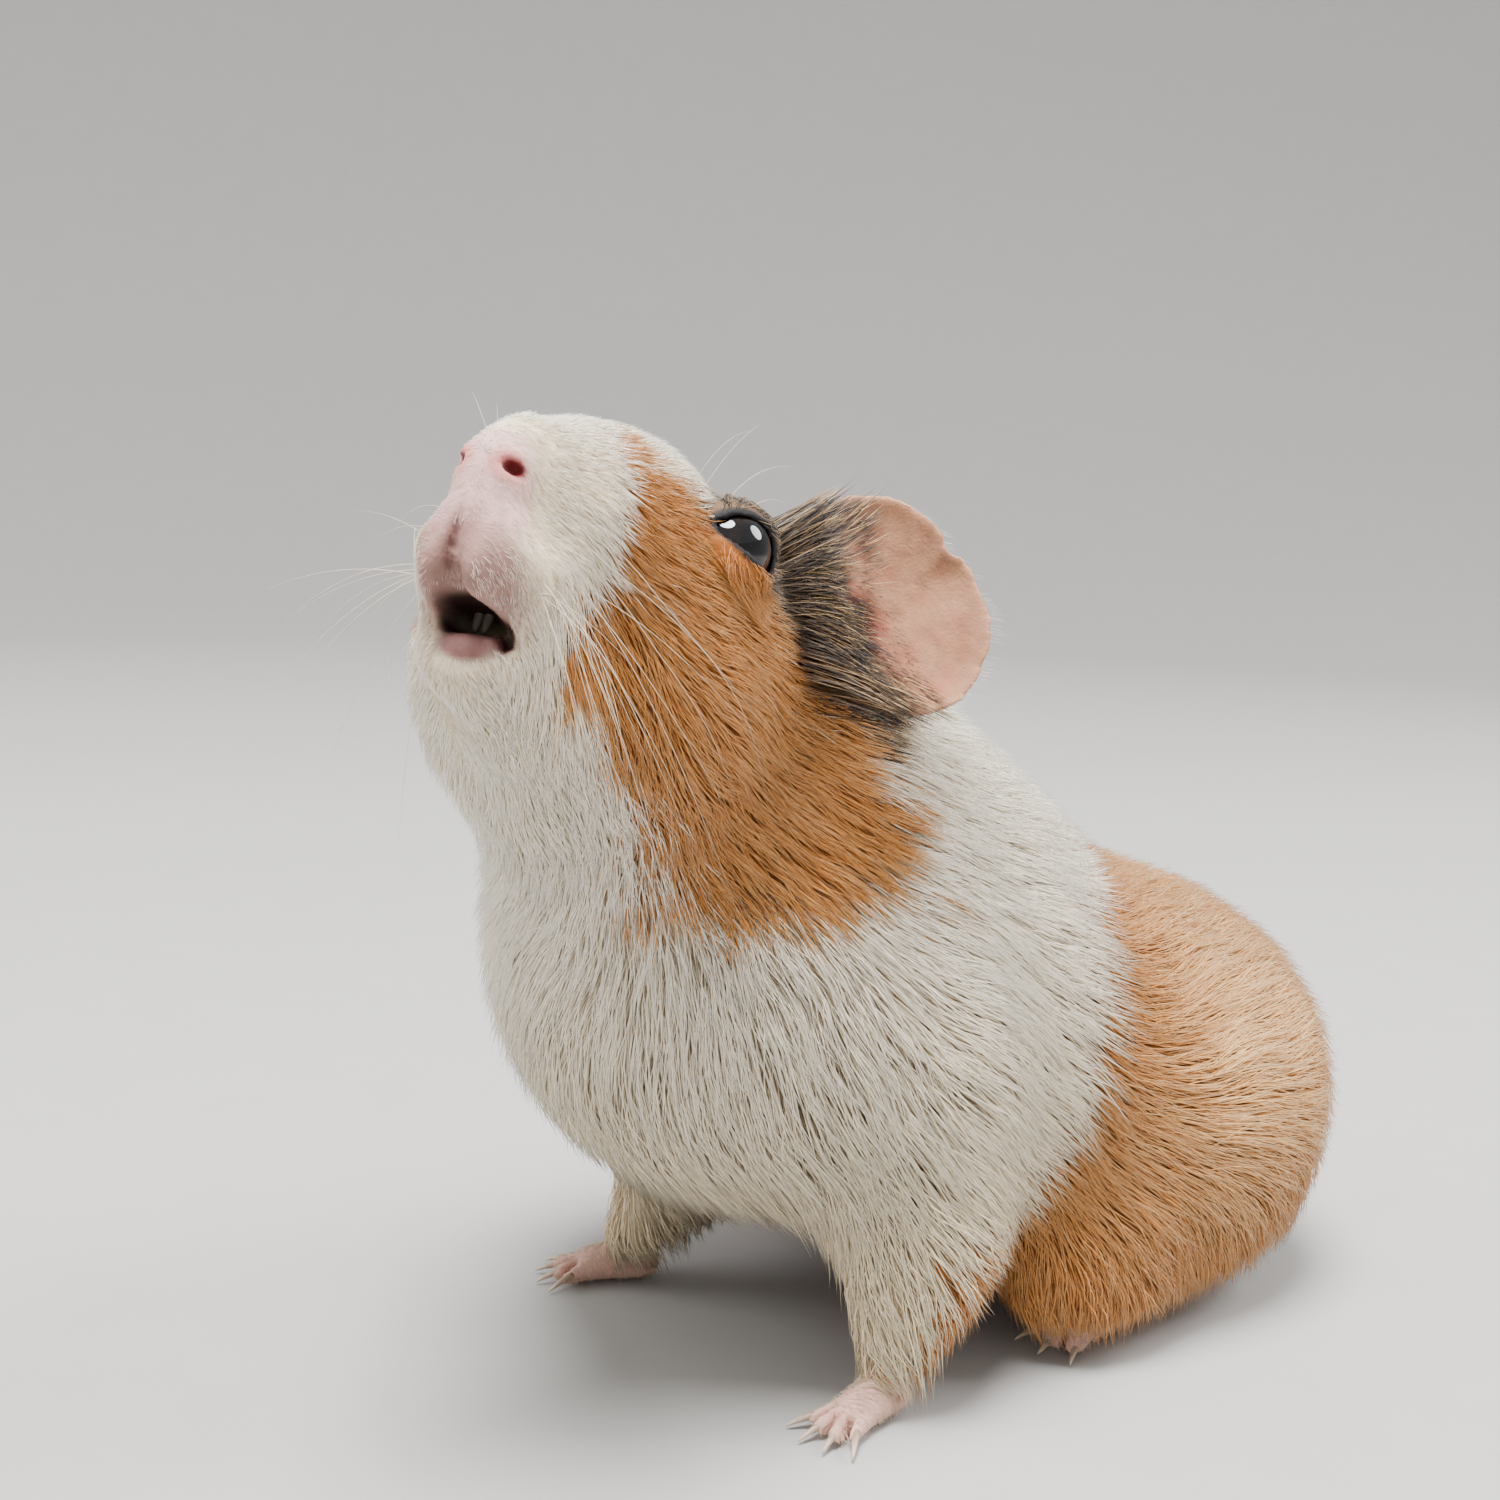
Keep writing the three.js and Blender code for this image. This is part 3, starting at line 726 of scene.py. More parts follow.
def head_markings(h):
    """How far inside the ginger and the dark patches of the head each place of its frame is."""
    side, y, z = np.abs(h[:, 0]), h[:, 1], h[:, 2]
    left_cheek = oval(y, z, (50, -17), (32, 15.5), -14)
    right_cheek = oval(y, z, (66, -7), (24, 12), -8)
    cheek = np.where(h[:, 0] > 0, left_cheek, right_cheek)
    cheek = np.minimum(cheek, 0.9 * (z + 19.5 + 0.43 * (y - 28)))
    streak = np.maximum(oval(y, z, (26, 3), (6.5, 9.5)), oval(y, z, (38, 0), (12, 9)))
    crown = side - 8 - 6 * fall(y, 32, 46)
    brow = np.minimum(oval(y, z, (54, 9), (25, 14), -8), crown)
    below_ear = oval(y, z, (67, -2), (13, 9), -20)
    patch = np.maximum(brow, below_ear)
    dark = np.minimum(patch, 0.9 * (z - 1.5 + 0.42 * (y - 50)))
    return np.minimum(np.maximum(np.maximum(cheek, streak), patch), side - 5), dark


def markings(points):
    """How far inside the ginger coat and inside the dark ticked coat each place is, in millimetres."""
    h = to_head(points)
    ginger, dark = head_markings(h)
    on_head = 90 - h[:, 1]
    back, up = points[:, 1], points[:, 2]
    border = mix(-16.5, 2, rise(up, 29, 39)) + 0.54 * np.maximum(up - 42, 0)
    saddle = np.minimum((back - border) * 0.8, 1.5 * (up - 9))
    wander = 1.6 * ripple(points, 9, 1) + 0.9 * ripple(points, 4, 2)
    ginger = np.maximum(np.minimum(ginger, on_head), saddle) + wander
    return ginger, np.minimum(dark + 0.4 * wander, on_head)


def coat_tints(points, lock, rng):
    """The root colours, tip colours and kinds (0 white, 1 ginger, 2 dark) of hair rooted at these places.

    Lock is a value from 0 to 1 that all the hairs of a lock share.
    """
    ginger, dark = markings(points)
    blur = rng.normal(0, 0.9, len(points))
    kind = np.where(dark + blur > 0, 2, np.where(ginger + blur > 0, 1, 0))
    shade = np.clip(0.94 + 0.12 * lock + rng.normal(0, 0.06, len(points)), 0.7, 1.2)[:, None]
    pale = np.exp(-(((points[:, 1] - 44) / 20) ** 2) - ((points[:, 2] - 46) / 21) ** 2)[:, None]
    draw = rng.random((len(points), 1))
    light = np.clip(0.9 * pale * (0.4 + lock[:, None]) + (0.35 + 0.5 * pale) * (draw < 0.28), 0, 1)
    ginger_tip = mix(GINGER, GINGER_PALE, light)
    ticked = np.where(draw < 0.42, STRAW, np.where(draw < 0.55, BROWN, BLACK))
    # Lower on the body the white coat turns creamier and darker: painted shade on the underside.
    low = fall(points[:, 2:], 28, 85)
    white_or_ginger = [kind[:, None] == 0, kind[:, None] == 1]
    roots = [mix(WHITE_ROOT, SHADED_CREAM_ROOT, low), mix(GINGER_ROOT, GINGER, 0.5 * pale)]
    roots = np.select(white_or_ginger, roots, BLACK)
    tips = np.select(white_or_ginger, [mix(WHITE, SHADED_CREAM, low), ginger_tip], ticked)
    from_lips = oval_reach(to_head(points), (0.5, 5, -14), (6.5, 8, 7))
    pink = 0.75 * np.maximum(1 - thickness(points), 0.8 * fall(from_lips, 0.7, 1.3))[:, None]
    roots, tips = mix(roots, NOSE_PINK, pink), mix(tips, NOSE_PINK, 0.8 * pink)
    return roots * shade, tips * shade, kind


# ---- The coat ----
def round_the_eye(way, h):
    """The ways the hair points, in the head's frame, turned aside where they would run over an eye."""
    eye = np.tile(EYE_IN_HEAD + GAZE * EYE_RADIUS, (len(h), 1))
    eye[:, 0] *= np.sign(h[:, 0])
    far = np.linalg.norm(eye - h, axis=1, keepdims=True)
    to_eye = (eye - h) / np.maximum(far, 1e-6)
    towards = np.maximum((way * to_eye).sum(axis=1, keepdims=True), 0)
    return way - to_eye * towards * fall(far, 6.5, 11)


def lie_on_head(h):
    """The way the head's hair points at each place: back, and down round the mouth, up before the ears."""
    side = np.clip(h[:, 0] / 4, -1, 1)
    hy, hz = h[:, 1], h[:, 2]
    front = fall(hy, 8, 30)
    low = fall(hz, -14, -2)
    by_mouth = fall(hy, 18, 40) * fall(hz, -16, -5) * rise(np.abs(h[:, 0]), 2, 6)
    ears = rise(hy, 44, 60) * rise(hz, -6, 6)
    sideways = side * (0.35 * front + 0.25 * ears)
    upward = -0.25 - 0.2 * low * fall(hy, 24, 50) - 0.95 * by_mouth
    upward = upward + ears * (0.4 + 0.5 * rise(hz, 8, 18))
    return round_the_eye(np.stack([sideways, np.ones(len(h)), upward], axis=1), h) @ HEAD.T


def lie_on_body(p):
    """The way the body's hair points: back and down, level over the haunch, and down the rump and legs."""
    x, y, z = p.T
    haunch = rise(y, 10, 40) * rise(z, 12, 50)
    rump = rise(y, 62, 88)
    leg = fall(z, 14, 32)
    chest = fall(y, -44, -14) * fall(z, 72, 98)
    down = np.maximum(np.maximum(rump, leg), 0.85 * chest)
    backward = mix(mix(0.72, 1.0, haunch), 0.2, np.maximum(np.maximum(rump, 0.5 * leg), chest))
    upward = mix(mix(-0.72, 0.12, haunch), -1.0, down)
    return np.stack([0.3 * chest * np.clip(x / 15, -1, 1), backward, upward], axis=1)


def lie_of_coat(p):
    """The way the hair points at each place, before it is laid along the skin."""
    h = to_head(p)
    return mix(unit(lie_on_head(h)), unit(lie_on_body(p)), rise(h[:, 1], 62, 84)[:, None])


def hair_length(p):
    """How long the coat's hair is at each place, in millimetres."""
    h = to_head(p)
    hy, hz = h[:, 1], h[:, 2]
    ridge = np.exp(-(((hy - 21) / 9) ** 2) - ((hz + 17) / 9) ** 2)
    face = 0.9 + 2.6 * rise(hy, 2, 16) + 2.0 * rise(hy, 14, 30) + 5.0 * ridge
    cheek = 5.0 * rise(hy, 26, 50) * fall(hz, -8, 2)
    body = (5.0 + 5.0 * fall(p[:, 2], 50, 85)) * rise(hy, 58, 84)
    chest = 5.0 * rise(-p[:, 1], 10, 40) * fall(p[:, 2], 50, 75) * rise(hy, 60, 84)
    at_lips = oval_reach(h, (0.5, 7, -16), (6, 10, 5))
    face = face * mix(0.7, 1.0, rise(at_lips, 0.7, 1.3))
    return mix(1.1, face + np.maximum(cheek, body) + chest, rise(p[:, 2], 4, 20))


def looseness(p):
    """How freely the hair hangs away from the body's form: most at the fringe of the chest and belly."""
    on_body = rise(to_head(p)[:, 1], 60, 84)
    return on_body * mix(0.2, 1.0, fall(p[:, 2], 34, 64))


def bare(p):
    """Where no hair grows: round the nostrils, the lips, the rims of the lids and the soles."""
    h = to_head(p)
    m = mirrored(h)
    far, _, past_rim = lid_measure(h)
    nostril = oval_reach(m, (3.5, 2.0, 0), (2.2, 2.8, 1.7)) < 1
    crease = oval_reach(m, (0.9, -1, -12), (1.7, 3.2, 5.5)) < 1
    mouth = oval_reach(h, (0.5, 9, -16.6), (4.7, 11, 3.8)) < 1
    lip = oval_reach(h, (0.7, 6.2, -19.4), (3.3, 3.6, 2.0)) < 1
    lids = (far < 9.0) & (past_rim < 0.65)
    return nostril | crease | mouth | lip | lids | (p[:, 2] < 1.4)


def thickness(p):
    """How thickly the hair grows at each place, next to the thickest: less on the nose, lips and toes."""
    from_nose = oval_reach(mirrored(to_head(p)), (2, 0, -6), (5, 6, 10))
    return mix(0.3, 1.0, rise(from_nose, 0.6, 1.2)) * mix(0.5, 1.0, rise(p[:, 2], 3, 8))


class Surface:
    """A mesh's triangles, to choose places on it: their corners, unwrapped corners, areas and middles."""

    def __init__(self, piece):
        mesh = piece.data
        mesh.calc_loop_triangles()
        corners = rows_of(mesh.loop_triangles, "vertices", np.int32, 3)
        loops = rows_of(mesh.loop_triangles, "loops", np.int32, 3)
        self.points = (rows_of(mesh.vertices, "co", np.float32, 3) / MM)[corners].astype(float)
        self.unwrapped = rows_of(mesh.uv_layers["OFBake"].data, "uv", np.float32, 2)[loops]
        a, b, c = self.points[:, 0], self.points[:, 1], self.points[:, 2]
        self.areas = np.linalg.norm(np.cross(b - a, c - a), axis=1) / 2
        self.middles = self.points.mean(axis=1)

    def scatter(self, density, rng):
        """Places spread at random, with a density for each triangle, and where each is on the unwrap."""
        counts = rng.poisson(self.areas * density)
        which = np.repeat(np.arange(len(counts)), counts)
        u, v = rng.random((2, len(which), 1))
        over = u + v > 1
        u, v = np.where(over, 1 - u, u), np.where(over, 1 - v, v)
        weights = np.stack([1 - u - v, u, v], axis=1)
        return (self.points[which] * weights).sum(axis=1), (self.unwrapped[which] * weights).sum(axis=1)

    def nearest_unwrapped(self, places):
        """Where the triangle nearest to each place is on the unwrap."""
        return self.unwrapped[nearest(self.middles, places)].mean(axis=1)


def hair_paths(coat, roots, lengths, rises, stand, steps, rng, bend=0.2):
    """The places along each hair, laid along the coat's form.

    Each rises through a share of the coat's depth, and its tip stands out by a share of its own length.
    """
    loose = looseness(roots)
    proud = coat.at(roots) + depth_at(roots)
    paths, place = [roots], roots
    stray = rng.normal(0, bend, (len(roots), 1))
    for step in range(1, steps + 1):
        t = step / steps
        out = coat.outward(place)
        way = lie_of_coat(place)
        flat = unit(way - out * (way * out).sum(axis=1, keepdims=True))
        way = unit(mix(flat, way, 0.6 * (loose * (step > 1))[:, None]))
        lean = 0.16 * ripple(place, 11, 3) + 0.12 * ripple(place, 4.5, 4)
        way = unit(way + np.cross(out, way) * (stray + lean[:, None]))
        place = place + way * (lengths / steps)[:, None]
        height = proud * (1 - 0.7 * t) - depth_at(place) * (1 - rises * t**0.6) + stand * lengths * t
        error = height - coat.at(place)
        error = np.where(error < 0, error * (1 - 0.8 * loose), error)
        place = place + coat.outward(place) * error[:, None]
        place[:, 2] = np.maximum(place[:, 2], LOWEST_HAIR)
        paths.append(place)
    return np.stack(paths, axis=1)


def depth_at(p):
    """How deep the skin lies under the coat's tips at each point."""
    return coat_depth(to_head(p)[:, 1], p[:, 2])


def gathered(paths, every, pull, rng):
    """The same hairs drawn together into locks, each towards a leading hair; and which hair leads each."""
    leaders = rng.permutation(len(paths))[: max(1, len(paths) // every)]
    leads = leaders[nearest(paths[leaders, 0], paths[:, 0])]
    along = np.linspace(0, 1, paths.shape[1])[None, :, None] ** 1.4
    strength = (pull * rng.uniform(0.4, 1.0, len(paths)))[:, None, None]
    gap = np.linalg.norm(paths[leads, 0] - paths[:, 0], axis=1)[:, None, None]
    return paths + (paths[leads] - paths) * along * strength * np.exp(-((gap / 4.0) ** 2)), leads


def tuft_arrays(coat, paths, widths):
    """Closed, tapering, three-sided tufts along the paths: their points, and the faces of one of them."""
    count, rings = len(paths), paths.shape[1] - 1
    ways = unit(np.gradient(paths, axis=1))
    across = unit(np.cross(ways, coat.outward(paths[:, 0])[:, None, :]))
    above = np.cross(across, ways)
    along = np.linspace(0, 1, rings + 1)[:-1]
    thick = (0.55 + 0.9 * along - 1.15 * along**2)[None, :, None, None] * widths[:, None, None, None]
    angles = np.radians([90, 210, 330])[:, None]
    ring = across[:, :-1, None] * np.cos(angles) + 0.6 * above[:, :-1, None] * np.sin(angles)
    points = paths[:, :-1, None] + ring * thick / 2
    points = np.concatenate([points.reshape(count, -1, 3), paths[:, -1:]], axis=1)
    faces = [(0, 2, 1)]
    for k in range(rings):
        for i in range(3):
            a, b = 3 * k + i, 3 * k + (i + 1) % 3
            faces += [(a, b, b + 3), (a, b + 3, a + 3)] if k < rings - 1 else [(a, b, 3 * rings)]
    return points, np.array(faces)


def make_tufts(name, coat, paths, widths, unwrapped, root_tints, tip_tints, slot):
    """One coat piece. Each tuft is a small patch at its root's place on the skin's unwrap."""
    points, faces = tuft_arrays(coat, paths, widths)
    count, each = points.shape[:2]
    all_faces = faces[None] + each * np.arange(count)[:, None, None]
    piece = new_object(name, points.reshape(-1, 3), all_faces.reshape(-1, 3))
    along = np.append(np.repeat(np.linspace(0, 1, paths.shape[1])[:-1], 3), 1.0)
    # Each tuft runs from its root colour to its tip colour; the darker root is partly painted shade deep in
    # the coat.
    paint(piece, mix(root_tints[:, None], tip_tints[:, None], along[None, :, None] ** 0.8).reshape(-1, 3))
    around = np.append(np.tile([-0.5, 0.0, 0.5], paths.shape[1] - 1), 0.0)
    patch = np.stack([around, along - 0.5], axis=1) * TUFT_PATCH
    corners = np.clip(unwrapped, TUFT_PATCH, 1 - TUFT_PATCH)[:, None] + patch[faces.ravel()][None]
    layer = piece.data.uv_layers.new(name="OFBake")
    layer.data.foreach_set("uv", corners.astype(np.float32).ravel())
    return finish_piece(piece, HAIR[slot], slot)


def grow_coat(coat, surface, region, rng):
    """All the coat of one region, as pieces of one colour each, under the limit on triangles."""
    start, end, every, pull, cover = REGIONS[region]
    middles = surface.middles
    far_back = to_head(middles)[:, 1]
    fits = (far_back >= start) & (far_back < end) & ~bare(middles) & (coat.at(middles) < 0.6)
    density = np.where(fits, thickness(middles) * np.minimum(MOST_HAIR, cover / hair_length(middles)), 0)
    roots, unwrapped = surface.scatter(density, rng)
    lengths = hair_length(roots) * rng.uniform(0.75, 1.2, len(roots))
    legs = fall(roots[:, 2], 14, 30)
    h = to_head(roots)
    before_ears = rise(h[:, 1], 46, 52) * fall(h[:, 1], 70, 78)
    before_ears = before_ears * rise(h[:, 2], 3, 9) * rise(np.abs(h[:, 0]), 10, 15)
    stand = looseness(roots) * (0.1 + 0.12 * legs) + 0.5 * before_ears
    stand = rng.exponential(0.012, len(roots)) + stand * rng.uniform(0.2, 1, len(roots))
    rises = rng.uniform(0.65, 1.02, len(roots))
    paths = hair_paths(coat, roots, lengths, rises, stand, HAIR_STEPS, rng)
    paths, leads = gathered(paths, every, pull, rng)
    locks = rng.random(len(roots))[leads]
    add_tufts(coat, region, paths, unwrapped, *coat_tints(roots, locks, rng))


def add_tufts(coat, region, paths, unwrapped, root_tints, tip_tints, kind, thick=1.0):
    """Makes the pieces of tufts along these paths, but for those that would cross the eye."""
    far, opening, _ = lid_measure(to_head(paths.reshape(-1, 3)))
    blocked = ((far < EYE_CLEAR) & (opening < 1.0)).reshape(len(paths), -1).any(axis=1)
    lengths = np.linalg.norm(np.diff(paths, axis=1), axis=2).sum(axis=1)
    widths = [width + more * lengths for width, more in (HAIR_WIDTH, SHORT_WIDTH)]
    widths = thick * np.minimum(*widths)
    each = 6 * (paths.shape[1] - 1) - 2  # triangles of a tuft
    for k, (colour, slot) in enumerate(KINDS):
        which = np.flatnonzero((kind == k) & ~blocked)
        parts = int(np.ceil(len(which) * each / MOST_TRIANGLES))
        for part in range(parts):
            some = which[part::parts]
            name = f"coat_{colour}_{region}" + (f"_{part + 1}" if parts > 1 else "")
            tints = root_tints[some], tip_tints[some]
            make_tufts(name, coat, paths[some], widths[some], unwrapped[some], *tints, slot)


def on_leaf(side, u, v, above):
    """Places at a height over the hollow side of an ear, in the part's frame."""
    middle, (x_axis, y_axis, z_axis) = ear_axes(side)
    sheet = ear_sheet(u, v)[0]
    place = middle + np.outer(u, x_axis) + np.outer(v, y_axis) + np.outer(sheet + above, z_axis)
    return from_head(place * (side, 1, 1))


def grow_ear_tufts(coat, surface, rng):
    """The long tufts that grow in front of each ear and fan out over its base."""
    paths = []
    for side in EARS:
        along = rng.uniform(-19, 17.5, EAR_TUFTS)
        out = BASE_AT - 0.5 + np.minimum(rng.exponential(3.4, EAR_TUFTS), 9)
        u = out * EAR_BASE[0] - along * EAR_BASE[1]
        v = out * EAR_BASE[1] + along * EAR_BASE[0]
        start_u = u - rng.uniform(2.5, 10 - 1.5 * rise(along, 3, 11), EAR_TUFTS)
        start_v = v - 0.35 * along - 0.22 * np.maximum(along, 0) + 1.0 + rng.normal(0, 1.8, EAR_TUFTS)
        tip = on_leaf(side, u, v, 1.2 + rng.exponential(0.7, EAR_TUFTS))
        root = on_leaf(side, start_u, start_v, 0)
        for _ in range(3):  # straight in or out, to just under the coat's form
            root = root - coat.outward(root) * (coat.at(root) + 1.2)[:, None]
        t = np.linspace(0, 1, 4)[None, :, None]
        bow = (4.5 + 0.5 * rise(along, 2, 14)) * rng.uniform(0.5, 1.4, EAR_TUFTS)
        lift = coat.outward(root)[:, None] * bow[:, None, None] * t * (1 - t)
        paths.append(root[:, None] * (1 - t) + tip[:, None] * t + lift)
    paths, _ = gathered(np.concatenate(paths), 5, 0.28, rng)
    kind = np.full(len(paths), 2)
    draw = rng.random((len(kind), 1))
    tip_tints = np.where(draw < 0.64, BLACK, np.where(draw < 0.92, 0.75 * STRAW, GINGER_PALE))
    root_tints = mix(mix(BLACK, BROWN, 0.5), tip_tints, 0.25)
    unwrapped = surface.nearest_unwrapped(paths[:, 0])
    add_tufts(coat, "ears", paths, unwrapped, root_tints, tip_tints, kind, 0.62)


def grow_ear_down(coat, surface, rng):
    """Fine, pale, short hairs on the hollow side of each ear and on its rim."""
    paths = []
    for side in EARS:
        angle = rng.uniform(-95, 125, EAR_DOWN) - 0.3 * rng.uniform(0, 95, EAR_DOWN)
        share = np.where(rng.random(EAR_DOWN) < 0.25, 0.97, np.sqrt(rng.uniform(0.15, 0.85, EAR_DOWN)))
        reach = share * ear_reach(angle)
        u, v = reach * np.cos(np.radians(angle)), reach * np.sin(np.radians(angle))
        u, v = np.stack([u, v])[:, above_base(u, v) > 1]
        length = rng.uniform(1.0, 2.2, len(u))
        steps = [on_leaf(side, u + k * length, v - 0.2 * k * length, 0.4 + 0.35 * k) for k in (0, 0.5, 1)]
        paths.append(np.stack(steps, axis=1))
    paths = np.concatenate(paths)
    tints = np.tile(WHITE_ROOT, (len(paths), 1)), np.tile(WHITE, (len(paths), 1))
    unwrapped = surface.nearest_unwrapped(paths[:, 0])
    add_tufts(coat, "ear_down", paths, unwrapped, *tints, np.zeros(len(paths), int), 0.5)


def grow_cheek_hairs(coat, surface, rng):
    """Long pale hairs that start behind the lips and lie over the cheeks."""
    side, y, z = to_head(surface.middles).T
    starts = (np.abs(y - 19) < 8) & (np.abs(z + 14) < 10 - 0.2 * y) & (np.abs(side) > 5)
    roots, unwrapped = surface.scatter(np.where(starts, 0.14, 0), rng)
    count = len(roots)
    lengths = rng.uniform(10, 21, count)
    stand = rng.uniform(0.02, 0.07, count)
    paths = hair_paths(coat, roots, lengths, np.ones(count), stand, 5, rng, 0.12)
    paths, _ = gathered(paths, 3, 0.25, rng)
    tints = np.tile(WHITE_ROOT, (count, 1)), np.tile(mix(WHITE_ROOT, GINGER_PALE, 0.4), (count, 1))
    add_tufts(coat, "long", paths, unwrapped, *tints, np.zeros(count, int), 0.5)


# ---- Skin, eyes, claws and whiskers ----
def unwrap(piece):
    """An unwrap of the piece's own shape, in the layer named OFBake."""
    piece.data.uv_layers.new(name="OFBake")
    for other in bpy.context.selected_objects:
        other.select_set(False)
    bpy.context.view_layer.objects.active = piece
    piece.select_set(True)
    bpy.ops.object.mode_set(mode="EDIT")
    bpy.ops.mesh.select_all(action="SELECT")
    bpy.ops.uv.smart_project(angle_limit=np.radians(66), island_margin=0.002)
    bpy.ops.object.mode_set(mode="OBJECT")


def spot(m, middle, radii, inner, outer):
    """1 inside an oval of inner times the radii, falling to 0 at outer times the radii."""
    return fall(oval_reach(m, middle, radii), inner, outer)[:, None]


def skin_tints(points, coat):
    """The skin's colour at each place: that of the coat over it, and of bare skin where there is none."""
    ginger, dark = markings(points)
    h = to_head(points)
    m = mirrored(h)
    tints = mix(WHITE_ROOT, GINGER_ROOT, rise(ginger, -1.5, 1.5)[:, None])
    tints = mix(tints, BROWN, rise(dark, -1.5, 1.5)[:, None])
    for tint, share, places, middle, radii, inner, outer in (
        (NOSE_PINK, 1, m, (2.6, 1.5, -1.5), (1, 1, 1.1), 4.5, 9),
        (HALO_PINK, 0.8, m, (3.8, 1.6, 0), (3.0, 3, 2.2), 0.6, 1.3),
        # the upper lip: its own pink, darkened by painted shade under the nose
        (LIP_PINK_AND_SHADE, 0.9, m, (1.5, 3, -13), (1, 1.5, 1.2), 4, 8),
        # the nostril's red lining, darkened by painted shade inside it
        (NOSTRIL_RED_AND_SHADE, 1, m, (3.4, 3.0, 0), (1.5, 2.1, 1.0), 0.75, 1.15),
        # painted shade in the cleft of the upper lip
        (CREASE_SHADE, 0.8, h, (-0.8, 0.5, -12.4), (0.5, 2.2, 6.6), 0.5, 1.3),
        # painted shade: the inside of the open mouth, near black
        (MOUTH_SHADE, 1, h, (0.2, 8.2, -16.4), (4.0, 8.0, 3.0), 0.75, 1.1),
        # painted shade in the corner of the mouth
        (CREASE_SHADE, 1, h, (4.3, 9.0, -17.8), (1.5, 4.0, 2.7), 0.6, 1.1),
        # the lower lip: its own pink, darkened by painted shade under the mouth
        (LIP_PINK_AND_SHADE, 1, h, (0.7, 8.0, -19.7), (3.3, 3.4, 2.0), 0.8, 1.25),
    ):
        tints = mix(tints, tint, share * spot(places, middle, radii, inner, outer))
    far, _, past_rim = lid_measure(h)
    lids = fall(far, 8.0, 9.6) * fall(past_rim, 0.75, 1.35)
    tints = mix(tints, LID_GREY, lids[:, None])
    tints = mix(tints, FOOT_PINK, fall(points[:, 2], 6, 11)[:, None])
    return ear_tints(tints, points, h, coat)


def ear_tints(tints, points, h, coat):
    """The skin's colours with those of the ears painted over them, wherever they stand out of the coat."""
    outside = rise(coat.at(points), 0.0, 0.8)
    blush = np.clip(0.45 + 0.7 * ripple(points, 7, 5) + 0.4 * ripple(points, 2.5, 6), 0, 1)
    for side in EARS:
        u, v, w = ear_place(h.T, side)
        sheet, t, _ = ear_sheet(u, v)
        here = outside * (t < 1.25) * (np.abs(w - sheet) < 4)
        veins = np.exp(-((ripple(points, 5, 8) / 0.07) ** 2)) * rise(t, 0.25, 0.5) * fall(t, 0.7, 0.95)
        ear = mix(EAR_PINK, EAR_BLUSH, (0.6 * blush * fall(t, 0.75, 1))[:, None])
        ear = mix(ear, EAR_VEIN, (0.3 * veins)[:, None])
        # redder and darker round the ear's root: partly its own colour, partly painted shade in the cup's
        # hollow
        ear = mix(ear, EAR_DEEP_RED_AND_SHADE, fall(np.hypot(u + 4, v + 3), 2, 7.5)[:, None])
        # paler along the rim: painted light
        ear = mix(ear, EAR_RIM_PAINTED_LIGHT, rise(t, 0.9, 1.0)[:, None])
        tints = mix(tints, ear, here[:, None])
    return tints


def make_skin(coat):
    points, faces = skin_mesh(coat)
    skin = new_object("skin", points, faces)
    paint(skin, skin_tints(points, coat))
    unwrap(skin)
    material = painted_material("skin", 0.62, 450, 0.84, 1.14, 0.0002, specular=0.2, subsurface=0.15)
    return finish_piece(skin, material, "skin", *FLESH, *EAR_NODES)


def ball(rows, around):
    """The points of a unit sphere about its z axis, and its faces as triangles."""
    points = [(0, 0, 1)]
    for row in range(1, rows):
        a = np.pi * row / rows
        for spin in 2 * np.pi * np.arange(around) / around:
            points.append((np.sin(a) * np.cos(spin), np.sin(a) * np.sin(spin), np.cos(a)))
    points.append((0, 0, -1))
    last = len(points) - 1
    faces = []
    for k in range(around):
        n = (k + 1) % around
        faces += [(0, 1 + k, 1 + n), (last, last - around + n, last - around + k)]
        for row in range(rows - 2):
            a, b = 1 + row * around + k, 1 + row * around + n
            faces += [(a, a + around, b + around), (a, b + around, b)]
    return np.array(points), faces


def make_eye(side, material):
    """An eyeball with a clear bulge, dark all over, with a faintly brown iris round the pupil."""
    points, faces = ball(48, 64)
    off_gaze = np.arccos(np.clip(points[:, 2], -1, 1))
    spin = np.arctan2(points[:, 1], points[:, 0])
    iris = rise(off_gaze, 0.42, 0.5) * fall(off_gaze, 0.85, 0.95) * (0.75 + 0.25 * np.sin(19 * spin))
    radius = EYE_RADIUS + EYE_BULGE * np.exp(-((off_gaze / 0.75) ** 4))
    gaze = GAZE * (side, 1, 1)
    first = unit(np.cross(gaze, [0, 0, 1]))
    axes = np.stack([first, np.cross(gaze, first), gaze])
    middle = EYE_IN_HEAD * (side, 1, 1)
    name = "eye_left" if side > 0 else "eye_right"
    eye = new_object(name + "_ball", from_head(middle + (points * radius[:, None]) @ axes), faces)
    paint(eye, mix(EYE_BLACK, EYE_BROWN, iris[:, None]))
    unwrap(eye)
    return finish_piece(eye, material, "eye", name)


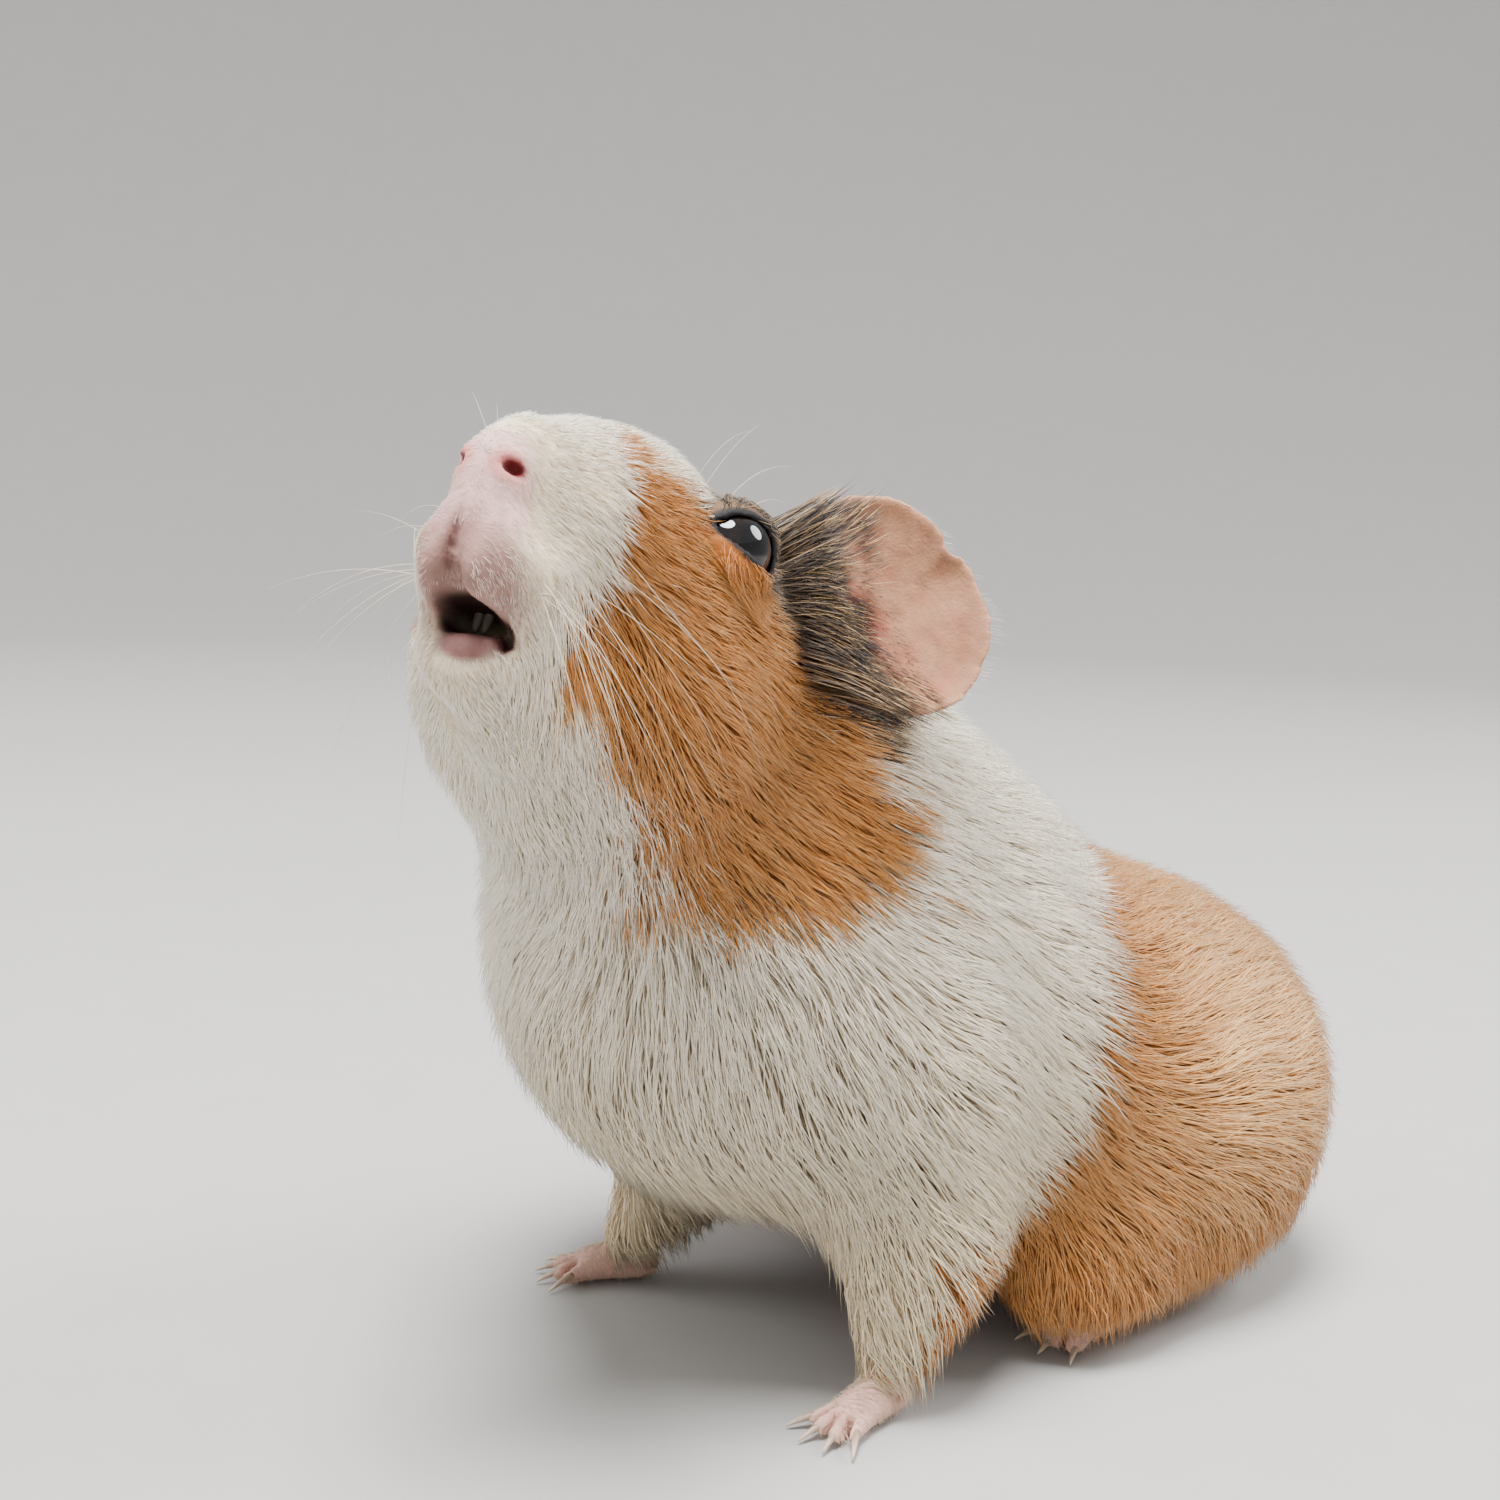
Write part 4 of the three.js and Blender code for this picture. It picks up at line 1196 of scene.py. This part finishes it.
def tube_arrays(path, radii, sides):
    """A closed round tube along a path that tapers by the radii: its points and triangles."""
    path = np.asarray(path, float)
    ways = unit(np.gradient(path, axis=0))
    across = unit(np.cross(ways, [0.3, 0.2, 1]))
    above = np.cross(across, ways)
    points = []
    for place, a, b, radius in zip(path, across, above, radii):
        for spin in 2 * np.pi * np.arange(sides) / sides:
            points.append(place + radius * (np.cos(spin) * a + np.sin(spin) * b))
    faces = []
    for ring in range(len(path) - 1):
        for k in range(sides):
            a, b = ring * sides + k, ring * sides + (k + 1) % sides
            faces += [(a, b + sides, b), (a, a + sides, b + sides)]
    last = (len(path) - 1) * sides
    faces += [(0, k, k + 1) for k in range(1, sides - 1)]
    faces += [(last, last + k + 1, last + k) for k in range(1, sides - 1)]
    return points, faces


def make_tubes(name, tubes, tint, tip_tint, material, slot):
    """Several tapering tubes as one piece: each is a path and a radius for each of its places."""
    points, faces, tints = [], [], []
    for path, radii, sides in tubes:
        own, own_faces = tube_arrays(path, radii, sides)
        faces += [tuple(i + len(points) for i in face) for face in own_faces]
        points += own
        along = np.repeat(np.linspace(0, 1, len(path)), sides)[:, None]
        tints.append(mix(tint, tip_tint, along))
    piece = new_object(name, np.array(points), faces)
    paint(piece, np.concatenate(tints))
    unwrap(piece)
    return finish_piece(piece, material, slot)


def make_claws(material):
    """The claws of each foot: slim, and curved down to the floor."""
    for name, (heel, heading, ball_at, toes, reach) in FEET.items():
        way = turn("Z", heading)
        tubes = []
        for angle in np.radians(toes):
            t = np.linspace(0, 1, 8)
            out = reach - CLAW_ROOTED + (CLAW_LENGTH + CLAW_ROOTED) * t
            height = 2.1 - 0.2 * t - 1.3 * t**2
            own = np.stack([out * np.sin(angle), -ball_at - out * np.cos(angle), height], axis=1)
            path = np.array([heel[0], heel[1], 0]) + own @ way.T
            tubes.append((path, CLAW_RADIUS * (1 - t) ** 0.7 + 0.1, 9))
        make_tubes(f"claws_{name}", tubes, CLAW_ROOT, CLAW_TIP, material, "skin")


def make_whiskers(coat, material, rng):
    """The whiskers of the muzzle, in rows, and a few over the eyes: long, fine and gently curved."""
    tubes = []
    for side in (1, -1):
        for row in range(4):
            for k in range(4):
                root = (side * 12, 7 + 3.3 * k, -3.4 - 2.9 * row + 0.5 * k)
                way = (side * (1.0 - 0.12 * k), -0.35 + 0.4 * k, WHISKER_LIFT[side] - 0.34 * row)
                tubes.append(whisker(coat, root, way, (19 + 4.5 * k) * rng.uniform(0.75, 1.15), side, rng))
        for k in range(4):
            root = (side * (17 + k), 31 + 3 * k, 13 + 1.0 * k)
            way = (side * 0.45, -0.3 + 0.2 * k, 1)
            tubes.append(whisker(coat, root, way, 15 * rng.uniform(0.7, 1.1), side, rng))
    make_tubes("whiskers", tubes, WHISKER_TINT, WHISKER_TINT, material, "coat_white")


def whisker(coat, root, way, length, side, rng):
    """One whisker, which starts on the skin in from root, bows back and down, and stays off the cheek."""
    start = from_head(root)
    start = start - coat.outward(start[None])[0] * (coat.at(start[None])[0] + 0.8)
    t = np.linspace(0, 1, 16)[:, None]
    way = unit(np.array(way) + rng.normal(0, 0.09, 3))
    bow = HEAD @ np.array([side * -0.05, 0.7, -0.7]) * rng.uniform(0.6, 1.3)
    path = start + length * ((HEAD @ way) * t + bow * 0.45 * t**2)
    short = np.maximum(2.2 * np.minimum(4 * t[:, 0], 1) - 0.8 - coat.at(path), 0)
    path = path + coat.outward(path) * short[:, None]
    return path, WHISKER_RADIUS * (1 - 0.85 * t[:, 0] ** 1.5), 5


def make_incisors(material):
    """The pair of upper front teeth, just inside the open lips."""
    t = np.linspace(0, 1, 10)
    tubes = []
    for side in (1, -1):
        path = np.stack([side * (0.62 - 0.05 * t), 13.0 - 2.6 * t + 1.2 * t**2, -12.0 - 4.9 * t], axis=1)
        tubes.append((from_head(path), 0.6 * (1 - 0.5 * t**5), 12))
    # the teeth are painted dim: their ivory darkened by painted shade inside the mouth
    make_tubes("incisors", tubes, SHADED_TOOTH, SHADED_TOOTH, material, "skin")


# ---- The making ----
HAIR = {
    "coat_white": painted_material("white_hair", 0.5, 900, 0.92, 1.05, specular=0.3, sheen=0.1),
    "coat_ginger": painted_material("ginger_hair", 0.45, 900, 0.88, 1.1, specular=0.3, sheen=0.1),
}

make_camera()
make_lights()
make_floor()
coat_form = coat_surface()
skin = make_skin(coat_form)
wet = painted_material("wet_eye", 0.12, 1500, 0.7, 1.3, specular=0.0, coat=1.0)
for eye_side in (1, -1):
    make_eye(eye_side, wet)
horn = painted_material("claw", 0.35, 1200, 0.85, 1.1)
make_claws(horn)
make_incisors(horn)
make_whiskers(coat_form, HAIR["coat_white"], RNG)
surface = Surface(skin)
hair_form = over_face(coat_form)
for coat_region in REGIONS:
    grow_coat(hair_form, surface, coat_region, RNG)
grow_cheek_hairs(hair_form, surface, RNG)
grow_ear_tufts(hair_form, surface, RNG)
grow_ear_down(hair_form, surface, RNG)
